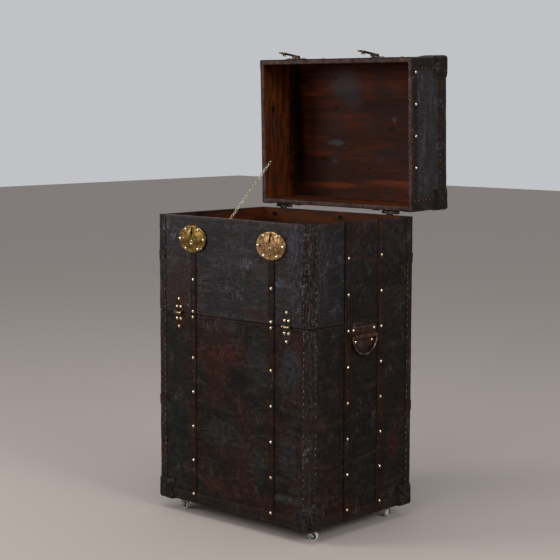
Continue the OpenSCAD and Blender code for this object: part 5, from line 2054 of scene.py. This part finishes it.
@dataclass
class FrontFlap:
    """The front flap: hide, bindings, straps, studs and hinge patches."""

    strap_top: float = 747.5
    plate_ring: tuple[float, float] = (45.5, 31.5)
    plate_angle: float = 58.0
    plate_rim: float = 5.8

    def build(self) -> None:
        """Builds all pieces of the flap."""
        self.hide()
        self.trim()
        self.studs()
        for name, way, body in (("upper", 1, "flap"), ("lower", -1, "trunk")):
            for side, where, finish in ((-1, "left", PATCH_TAN), (1, "right", PATCH_DARK)):
                draft = Draft()
                HingePatch(side, way).draw(draft)
                draft.make(f"{where}_{name}_hinge_patch", finish, body,
                           [f"front_hinge_{name}_patches"])
        dress(BOARD_ACROSS, "flap_board")
        dress(BOARD_DEEP, "flap_left_wing", "flap_right_wing")
        dress(BRASS, "front_hinge_upper_leaves")
        dress(STEEL, "left_lock_bolt", "right_lock_bolt")

    def hide(self) -> None:
        """Builds the hide over the flap and its wings."""
        s, draft = SIZE, Draft()
        w, inner = s.half, s.inner
        path = WallPath([(-w, s.wing), (-w, 0), (w, 0), (w, s.wing)], closed=False)
        outer = [(0.0, z, True) for z in levels(s.seam_top, s.rim)[1:-3]]
        under = [(s.skin, s.seam_top + s.turn, False), (inner, s.seam_top + s.turn, False),
                 (inner, s.seam_top, False), (0.9, s.seam_top, False)]
        sweep_walls(draft, path, outer + rim_profile() + under)
        for side in SIDES:
            TrunkBox.strip(draft, (side * (w - 0.5), s.wing - s.turn, s.seam_top),
                           (side * (w - inner), s.wing, s.rim - 0.3))
        draft.make("flap_hide", HIDE_FLAP, "flap", ["flap_leather"])

    def trim(self) -> None:
        """Builds the flap's bindings, edge patches and straps."""
        s, leather, thread, bands = SIZE, Draft(), Draft(), Draft()
        for side in SIDES:
            EDGING.bind(leather, thread, side, s.ends[0], s.seam_top + 0.2, s.rim - 0.2)
            EDGING.patch(leather, side, s.ends[0], EDGING.patch_up, seed=40 + side)
            upright_strap(bands, Face.FRONT, side * STRAPS.x, s.seam_top + 0.2, self.strap_top,
                          side + 30)
        leather.make("flap_bindings", BINDING, "flap", ["flap_edge_bindings"])
        thread.make("flap_stitches", THREAD, "flap")
        bands.make("flap_strap_bands", STRAP_LEATHER, "flap", ["flap_straps"])

    def studs(self) -> None:
        """Builds the flap's studs."""
        middle, places = SIZE.seam_low + 1, []
        for side in SIDES:
            for up in (STRAPS.seam_stud, STRAPS.front_step):
                places.append(stud_place(Face.FRONT, side * STRAPS.x, middle + up, STRAPS.thick))
            places += HingePatch(side, 1).stud_places()
            a, b = self.plate_ring
            for turn in (0, self.plate_angle, 180 - self.plate_angle, 180, 180 + self.plate_angle,
                         -self.plate_angle):
                across = side * STRAPS.x + a * math.cos(math.radians(turn))
                up = LockPlates.z + b * math.sin(math.radians(turn))
                axes, _ = stud_place(Face.FRONT, across, up, 0)
                places.append((axes, Face.FRONT.spot(across, up, self.plate_rim)))
        make_studs("flap_stud_heads", "flap", "flap_studs", places)


@dataclass
class LockPlates:
    """The two domed oval lock plates with their slots, keyholes and rivets."""

    length: float = 105.0
    width: float = 77.0
    end_radius: float = 33.0
    z: float = 788.0
    slot_up: float = 20.0
    slot: tuple[float, float] = (4.6, 21.0)
    key_down: float = 9.0
    key_d: float = 5.0
    bolt: tuple[float, float, float, float] = (12.0, 5.0, 0.3, 7.0)
    room: float = 5.6
    deep: float = 12.0
    dome: tuple[tuple[float, float], ...] = (
        (0.0, 0.0), (0.0, 4.2), (0.5, 5.0), (1.4, 5.55), (2.6, 5.75), (4.2, 5.7), (7, 5.65),
        (10, 5.72), (13, 6.0), (16, 6.5), (20, 7.2), (25, 7.75), (30, 7.95), (35, 8.0))
    rivets: tuple = ((-31.0, 2.0, 5.9), (28.0, 0.5, 6.0), (37.0, -25.0, 5.0))

    def build(self) -> None:
        """Builds both plates."""
        for side, name, finish in ((-1, "left", PLATE_LEFT), (1, "right", PLATE_RIGHT)):
            self.plate(side, name, finish)
            self.details(side, name)

    def outline(self, count: int) -> np.ndarray:
        """The oval's outline, of two end arcs and two flatter arcs.

        Args:
            count: the number of its points.

        Returns:
            One point per row, from the plate's middle.
        """
        a, b = self.length / 2 - self.end_radius, self.width / 2 - self.end_radius
        k = (a * a - b * b) / (2 * b)
        big = self.width / 2 + k
        meet = math.atan2(a, k)
        points = []
        for turn in np.linspace(0, 2 * math.pi, count, endpoint=False):
            way = np.array([math.cos(turn), math.sin(turn)])
            low, high = 0.0, self.length
            for _ in range(30):
                mid = (low + high) / 2
                p = np.abs(way * mid)
                leaning = math.atan2(p[0], p[1] + k)
                inside = (np.hypot(p[0], p[1] + k) < big) if leaning < meet else (
                    np.hypot(p[0] - a, p[1]) < self.end_radius)
                low, high = (mid, high) if inside else (low, mid)
            points.append(way * low)
        return np.array(points)

    def plate(self, side: int, name: str, finish: Finish) -> None:
        """Makes one plate and cuts its slot, keyhole and bolt room.

        Args:
            side: -1 for the left plate and 1 for the right one.
            name: the side's name.
            finish: what the plate is made of.
        """
        outline = self.outline(96)
        reach = np.linalg.norm(outline, axis=1)
        rows, centre = [], np.array([side * STRAPS.x, 0, self.z])
        for inset, height in self.dome:
            flat = outline * ((reach - inset) / reach)[:, None]
            dent = 0.35 * DENT.at(np.column_stack([flat, np.full(len(flat), side * 50.0)]), 17)
            out = height + dent * smooth(height, 5.4, 6.2) * 0.6
            rows.append(np.column_stack([flat[:, 0], -out, flat[:, 1]]) + centre)
        count, rings = len(outline), len(rows)
        points = np.concatenate([*rows, [centre + (0, -self.dome[-1][1], 0)]])
        last = (rings - 1) * count
        top = [[last + k, last + (k + 1) % count, rings * count] for k in range(count)]
        number = np.arange(rings * count).reshape(rings, count)
        low, high = number[:-1], number[1:]
        walls = np.stack([low, np.roll(low, -1, 1), np.roll(high, -1, 1), high], -1)
        draft = Draft()
        draft.add(points, walls.reshape(-1, 4).tolist() + top + [list(range(count))])
        piece = draft.make(f"{name}_lock_plate", finish, "flap", ["lock_plates"])
        self.cut(piece, side)

    def cut(self, piece: bpy.types.Object, side: int) -> None:
        """Cuts a plate's openings with boxes and a cylinder.

        Args:
            piece: the plate.
            side: -1 for the left plate and 1 for the right one.
        """
        x = side * STRAPS.x
        slot_w, slot_l = self.slot
        length, height, clear, travel = self.bolt
        far = slot_w / 2 + length + 2 * clear
        z = self.z + self.slot_up
        low, high = z - height / 2 - clear, z + height / 2 + clear
        boxes = [((x - slot_w / 2, -self.deep, z - slot_l / 2),
                  (x + slot_w / 2, 1, z + slot_l / 2)),
                 ((x + side * -travel, -self.room, low), (x + side * far, 1, high))]
        cutter = Draft()
        for box in boxes:
            ends = np.sort(box, axis=0)
            corners = [[ends[i][0], ends[j][1], ends[k][2]] for i, j, k in np.ndindex(2, 2, 2)]
            cutter.add(corners, [[0, 1, 3, 2], [4, 6, 7, 5], [0, 4, 5, 1], [2, 3, 7, 6],
                                 [0, 2, 6, 4], [1, 5, 7, 3]])
        hole, faces = lathe([(self.key_d / 2, -2.0), (self.key_d / 2, 14.0)], 24)
        cutter.copies(hole, faces, [(axes_for((0, -1, 0), (1, 0, 0)),
                                     np.array([x, 0, self.z - self.key_down]))])
        mesh = bpy.data.meshes.new("cutter")
        mesh.from_pydata(Stand.BOX.place(np.concatenate(cutter.points)).tolist(), [], cutter.faces)
        turn_outwards(mesh)
        tool = put("cutter", mesh)
        apply_cut(piece, tool)
        bpy.data.objects.remove(tool)

    def details(self, side: int, name: str) -> None:
        """Adds the keyhole's ring and the small rivets of one plate.

        Args:
            side: -1 for the left plate and 1 for the right one.
            name: the side's name.
        """
        x, draft = side * STRAPS.x, Draft()
        inner, outer = self.key_d / 2 + 0.2, 6.4
        ring = [(inner, 7.2), (outer, 7.0), (outer, 8.5), (outer - 0.7, 9.0), (inner + 1.0, 8.9),
                (inner, 8.4)]
        sides, middle = 28, self.z - self.key_down
        angles = np.arange(sides) * 2 * math.pi / sides
        rows = np.stack([np.stack([x + r * np.cos(angles), np.full(sides, -h),
                                   middle + r * np.sin(angles)], 1) for r, h in ring])
        draft.grid(rows, loop=True)
        for across, up, out in self.rivets:
            places = [(axes_for((0, -1, 0), (1, 0, 0)), np.array([x + across, -out, self.z + up]))]
            draft.copies(*RIVET, places)
        draft.make(f"{name}_plate_details", PLATE_TRIM, "flap")


def apply_cut(piece: bpy.types.Object, tool: bpy.types.Object) -> None:
    """Subtracts a closed mesh from a piece and keeps the result.

    Args:
        piece: the piece to cut.
        tool: the closed mesh that is taken away.
    """
    change = piece.modifiers.new("cut", "BOOLEAN")
    change.operation, change.object, change.solver = "DIFFERENCE", tool, "EXACT"
    change.use_self = True
    bpy.context.view_layer.update()
    seen = piece.evaluated_get(bpy.context.evaluated_depsgraph_get())
    mesh = bpy.data.meshes.new_from_object(seen)
    piece.modifiers.clear()
    old, piece.data = piece.data, mesh
    bpy.data.meshes.remove(old)
    mesh.shade_smooth()
    mesh.set_sharp_from_angle(angle=math.radians(35))


@dataclass
class Lid:
    """The lid: hide, bindings, corner caps, straps and studs."""

    binding: float = 35.0
    rim_band: float = 24.0
    stud_up: float = 16.0
    stud_front: float = 41.0
    stud_step: float = 88.0
    top_in: float = 3.0
    top_cells: tuple[int, int] = (96, 72)

    def build(self) -> None:
        """Builds all pieces of the lid."""
        self.hide()
        self.bindings()
        self.caps()
        self.straps()
        self.studs()
        dress(BOARD_PANEL, "lid_top_board")
        dress(BOARD_ACROSS, "lid_front_board", "lid_back_board")
        dress(BOARD_UP, "lid_left_board", "lid_right_board")
        dress(IRON, "back_hinge_lid_leaves")
        dress(STEEL, "chain_lid_screw")
        dress(BRONZE, "hasp_hinge_plates")

    def hide(self) -> None:
        """Builds the hide over the lid."""
        s, draft = SIZE, Draft()
        w, d, inner, r = s.half, s.depth, s.inner, s.edge_radius
        loop = WallPath([(-w, 0), (w, 0), (w, d), (-w, d)], closed=True)
        strip = [(2.2, s.turn), (inner, s.turn), (inner, 0.5), (inner - 0.8, 0.0), (9.0, -0.1),
                 (5.5, 0.0), (2.9, 0.0), (2.2, 0.4)]
        turned = Draft()
        rows = np.stack([loop.level(inset, s.lid_rim + up, False) for inset, up in strip])
        uneven = 0.35 * DENT.at(rows, 19)
        rows[4:6, :, 2] += uneven[4:6]
        turned.grid(rows, loop=True, wear=0.5 + 0.5 * DENT.at(rows, 13))
        turned.make("lid_rim_turn", RIM_LEATHER, "lid", ["lid_leather"], Stand.LID)
        rim = [(s.skin, s.lid_rim + s.turn, False), (s.skin, s.lid_rim + 0.1, False),
               (1.6, s.lid_rim, False), (0.5, s.lid_rim + 0.6, True)]
        walls = [(0.0, z, True) for z in levels(s.lid_rim + 1.8, s.lid_top - r)]
        arc = [(r - r * math.cos(a), s.lid_top - r + r * math.sin(a), False)
               for a in np.radians([25, 50, 75, 90])]
        back = [(r, s.lid_top - s.skin, False), (s.skin, s.lid_top - s.skin, False)]
        sweep_walls(draft, loop, rim + walls + arc + back)
        across, deep = self.top_cells
        x = np.linspace(self.top_in - w, w - self.top_in, across)
        y = np.linspace(self.top_in, d - self.top_in, deep)
        height = np.full((across, deep), s.lid_top)
        sheet = np.stack([*np.meshgrid(x, y, indexing="ij"), height], -1)
        outer = sheet.copy()
        outer[..., 2] += swell(sheet)
        draft.slab(outer, sheet - (0, 0, s.skin))
        draft.make("lid_hide", HIDE_LID, "lid", ["lid_leather"], Stand.LID)

    def bindings(self) -> None:
        """Builds the stitched bindings along the lid's edges and the band along its rim."""
        s, leather, thread = SIZE, Draft(), Draft()
        w, d, top = s.half, s.depth, s.lid_top
        for side in SIDES:
            x, into = side * w, (-side, 0, 0)
            for end in s.ends:
                EdgeWrap.upright(side, end, s.lid_rim + 0.3, top - 8, (self.binding, self.binding),
                                 seed=60 + side).draw(leather, thread)
            EdgeWrap((x, 8, top), (x, d - 8, top), (0, 0, -1), into, self.binding, self.binding,
                     seed=66 + side).draw(leather, thread)
            self.band(leather, Face.of_side(side), self.binding - 2, d - self.binding)
        for low, high in front_gaps():
            for y, along in s.ends:
                EdgeWrap((low, y, top), (high, y, top), (0, 0, -1), along, self.binding,
                         self.binding, seed=71).draw(leather, thread)
            self.band(leather, Face.FRONT, max(low, -w + self.binding - 2),
                      min(high, w - self.binding + 2))
        leather.make("lid_bindings", BINDING, "lid", ["lid_edge_bindings"], Stand.LID)
        thread.make("lid_stitches", THREAD, "lid", (), Stand.LID)

    def band(self, draft: Draft, face: Face, low: float, high: float) -> None:
        """Adds a flat band along the lid's rim.

        Args:
            draft: the piece.
            face: the face that it lies on.
            low: its first place across the face.
            high: its last place.
        """
        at = np.linspace(low, high, max(3, int((high - low) / 6)) + 1)
        ups = np.array([0.2, 0.7, 1.6, 5, 12, 19, 22.4, 23.6, self.rim_band])
        heights = np.array([0.3, 1.1, 1.5, 1.5, 1.5, 1.45, 1.4, 1.0, 0.1])
        outer, inner = [], []
        for up, height in zip(ups, heights):
            base = np.array([face.spot(a, SIZE.lid_rim + up) for a in at])
            wobble = 0.6 * WOBBLE.at(base, 30) * (up > 15)
            base = base + np.array([0, 0, 1]) * wobble[:, None]
            hide = swell(base)
            outer.append(base + face.normal * (hide + height)[:, None])
            inner.append(base + face.normal * (hide - SUNK)[:, None])
        draft.slab(outer, inner, [np.full(len(at), 0.5 * (k < 3)) for k in range(len(ups))])

    def caps(self) -> None:
        """Builds the four caps over the lid's upper corners."""
        draft = four_caps(SIZE.lid_top, -1, CAP.length, seed=11)
        draft.make("lid_caps", CAP_LEATHER, "lid", ["lid_corner_caps"], Stand.LID)

    def straps(self) -> None:
        """Builds the two straps over the lid."""
        s, draft = SIZE, Draft()
        r, top, d = s.edge_radius, s.lid_top, s.depth
        turns = [(math.cos(a), math.sin(a)) for a in np.radians([0, 22, 45, 67, 90])]
        for side in SIDES:
            line = [((0, z), (-1, 0)) for z in np.arange(s.lid_rim + 0.3, top - r, 6)]
            line += [((r - r * cos, top - r + r * sin), (-cos, sin)) for cos, sin in turns]
            line += [((y, top), (0, 1)) for y in np.arange(r + 6, d - r, 6)]
            line += [((d - r + r * sin, top - r + r * cos), (sin, cos)) for cos, sin in turns]
            line += [((d, z), (1, 0)) for z in np.arange(top - r - 6, s.lid_rim, -6)]
            base = np.array([(side * STRAPS.x, *p) for p, _ in line])
            normals = np.array([(0, *n) for _, n in line])
            strap(draft, base, normals, (1, 0, 0), STRAPS.width, STRAPS.thick, seed=side + 50)
        draft.make("lid_strap_bands", STRAP_LEATHER, "lid", ["lid_straps"], Stand.LID)

    def studs(self) -> None:
        """Builds the lid's studs and the rivets of the hasps' hinge plates."""
        s, places, rivets = SIZE, [], []
        count = int((s.depth - 2 * CAP.length) // STRAPS.front_step) + 1
        first = (s.depth - (count - 1) * STRAPS.front_step) / 2
        rim_count = int((s.depth - CAP.length - self.stud_front) // self.stud_step) + 1
        for side in SIDES:
            face = Face.of_side(side)
            x = side * STRAPS.x
            spots = [(Face.TOP, first + i * STRAPS.front_step) for i in range(count)]
            spots += [(Face.FRONT, s.lid_top - self.stud_up - STRAPS.stud_d),
                      (Face.BACK, s.lid_rim + self.stud_up)]
            places += [stud_place(on, x, up, STRAPS.thick) for on, up in spots]
            for i in range(rim_count):
                places.append(stud_place(face, self.stud_front + i * self.stud_step,
                                         s.lid_rim + self.stud_up, 1.5))
            for shift in (-5.5, 5.5):
                rivets.append((axes_for((0, -1, 0), (1, 0, 0)),
                               Face.FRONT.spot(x + shift, s.lid_rim + 28, 4.0)))
        make_studs("lid_stud_heads", "lid", "lid_studs", places, rivets, Stand.LID)


@dataclass
class Fittings:
    """The hasps, the chain and the castors, whose CAD shapes show."""

    runs: int = 4
    tags: tuple[str, ...] = ("fr", "fl", "rr", "rl")

    def build(self) -> None:
        """Dresses the fittings."""
        dress(BRONZE, "left_hasp", "right_hasp")
        dress(CHAIN_METAL, *[f"chain_run_{i + 1}" for i in range(self.runs)])
        dress(STEEL, *[f"castor_fork_{tag}" for tag in self.tags])
        for tag in self.tags:
            dress(Wheel.of(tag), f"castor_wheel_{tag}")


@dataclass
class MiddleLink:
    """The link between the chain's two middle runs, with room for the chain to fold."""

    wire: float = 2.2
    gap: float = 0.15
    shank: float = 1.5
    bend: float = 3.2
    links: int = 25
    room: float = 1.6
    turns: int = 40
    sides: int = 10

    def build(self) -> None:
        """Builds the link and hangs it on the second run."""
        wire, gap, shank, bend = self.wire, self.gap, self.shank, self.bend
        first = np.array(joint("chain_pivot_1")["pos_m"]) / MM
        last = np.array(joint("chain_pivot_4")["pos_m"]) / MM
        length = float(np.linalg.norm(last - first))
        way = (last - first) / length
        pitch = (length + 2 * shank + gap) / self.links
        end = (pitch + wire + gap) / 2
        middle = first + way * (end - shank - wire / 2 - gap + self.links // 2 * pitch)
        straight = end - bend
        angles = np.radians(np.linspace(0, 360, self.turns, endpoint=False))
        sides = np.radians(np.linspace(0, 360, self.sides, endpoint=False))
        across = np.array([1.0, 0, 0])
        upward = np.cross(across, way)
        rows = []
        for side in sides:
            row = []
            for turn in angles:
                out = way * math.cos(turn) + upward * math.sin(turn)
                ahead = np.sign(round(math.cos(turn), 9))
                centre = middle + out * bend + way * (straight * ahead + self.room * (ahead > 0))
                row.append(centre + (out * math.cos(side) + across * math.sin(side)) * wire / 2)
            rows.append(row)
        points = np.array(rows)
        points[..., 1] -= SIZE.front_y
        draft = Draft()
        draft.grid(points, loop=True)
        draft.make("chain_middle_link", CHAIN_METAL, "chain_run_2")


@dataclass
class Studio:
    """The floor, the backdrop, the lamps and the camera."""

    eye: tuple[float, float, float] = (2.9157, -3.2323, 1.1704)
    angles: tuple[float, float, float] = (83.323, -0.126, 42.917)
    lens: float = 98.54

    def build(self) -> None:
        """Builds the setting."""
        self.camera()
        self.floor()
        self.world()
        self.lamp("key", (-2.6, -3.1, 2.0), (0, 0, 0.75), 1.6, 85)
        self.lamp("side", (3.9, -0.5, 2.3), (0, 0, 0.8), 1.3, 70)
        self.lamp("top", (0.4, -1.4, 3.6), (0, 0, 0.6), 1.8, 30)

    def camera(self) -> None:
        """Puts the camera where the photograph was taken from."""
        data = bpy.data.cameras.new("camera")
        data.lens, data.sensor_width, data.sensor_fit = self.lens, 36.0, "HORIZONTAL"
        data.clip_end = 60.0
        eye = put("camera", data)
        eye.location = self.eye
        eye.rotation_euler = [math.radians(a) for a in self.angles]
        bpy.context.scene.camera = eye

    def floor(self) -> None:
        """Lays a plain pale floor."""
        mesh = bpy.data.meshes.new("floor")
        reach = 14.0
        mesh.from_pydata([(-reach, -reach, 0), (reach, -reach, 0), (reach, reach, 0),
                          (-reach, reach, 0)], [], [(0, 1, 2, 3)])
        floor = put("floor", mesh)
        material = bpy.data.materials.new("pale_floor")
        material.use_nodes = True
        t = Tree(material.node_tree)
        t.feed(t.tree.nodes["Principled BSDF"], {"Base Color": tint("#b5a9a2"), "Roughness": 0.8})
        mesh.materials.append(material)

    def world(self) -> None:
        """Lights the scene softly and shows a pale backdrop."""
        world = bpy.data.worlds.new("soft_light")
        world.use_nodes = True
        bpy.context.scene.world = world
        t = Tree(world.node_tree)
        nodes = world.node_tree.nodes
        light = nodes["Background"]
        t.feed(light, {"Color": tint("#e6e8ec"), "Strength": 0.5})
        shown = t.node("Background", {"Color": tint("#c1c2c6"), "Strength": 1.0})
        path = t.node("LightPath")
        seen = path.outputs["Is Camera Ray"]
        for kind in ("Is Glossy Ray", "Is Transmission Ray"):
            seen = t.math("MAXIMUM", seen, path.outputs[kind])
        mixed = t.node("MixShader", {0: seen, 1: light.outputs[0], 2: shown.outputs[0]})
        t.feed(nodes["World Output"], {"Surface": mixed.outputs[0]})

    def lamp(self, name: str, place: Sequence[float], target: Sequence[float], size: float,
             power: float) -> None:
        """Hangs a square area lamp.

        Args:
            name: its name.
            place: where it hangs.
            target: the point that it faces.
            size: its side in metres.
            power: its power in watts.
        """
        data = bpy.data.lights.new(name, "AREA")
        data.shape, data.size, data.energy = "SQUARE", size, power
        lamp = put(name, data)
        lamp.location = place
        way = Vector(target) - Vector(place)
        lamp.rotation_euler = way.to_track_quat("-Z", "Y").to_euler()


def write_sizes() -> None:
    bpy.context.view_layer.update()


def main() -> None:
    """Builds the setting and every sub-assembly in order."""
    logging.basicConfig(level=logging.INFO, format="%(message)s", stream=sys.stdout)
    scene = bpy.context.scene
    scene.view_settings.view_transform = "Standard"
    for part in (Studio(), TrunkBox(), HANDLE, FrontFlap(), LockPlates(), Lid(), Fittings(),
                 MiddleLink()):
        part.build()
        log.info("%s done", type(part).__name__)
    write_sizes()


if __name__ == "__main__":
    main()
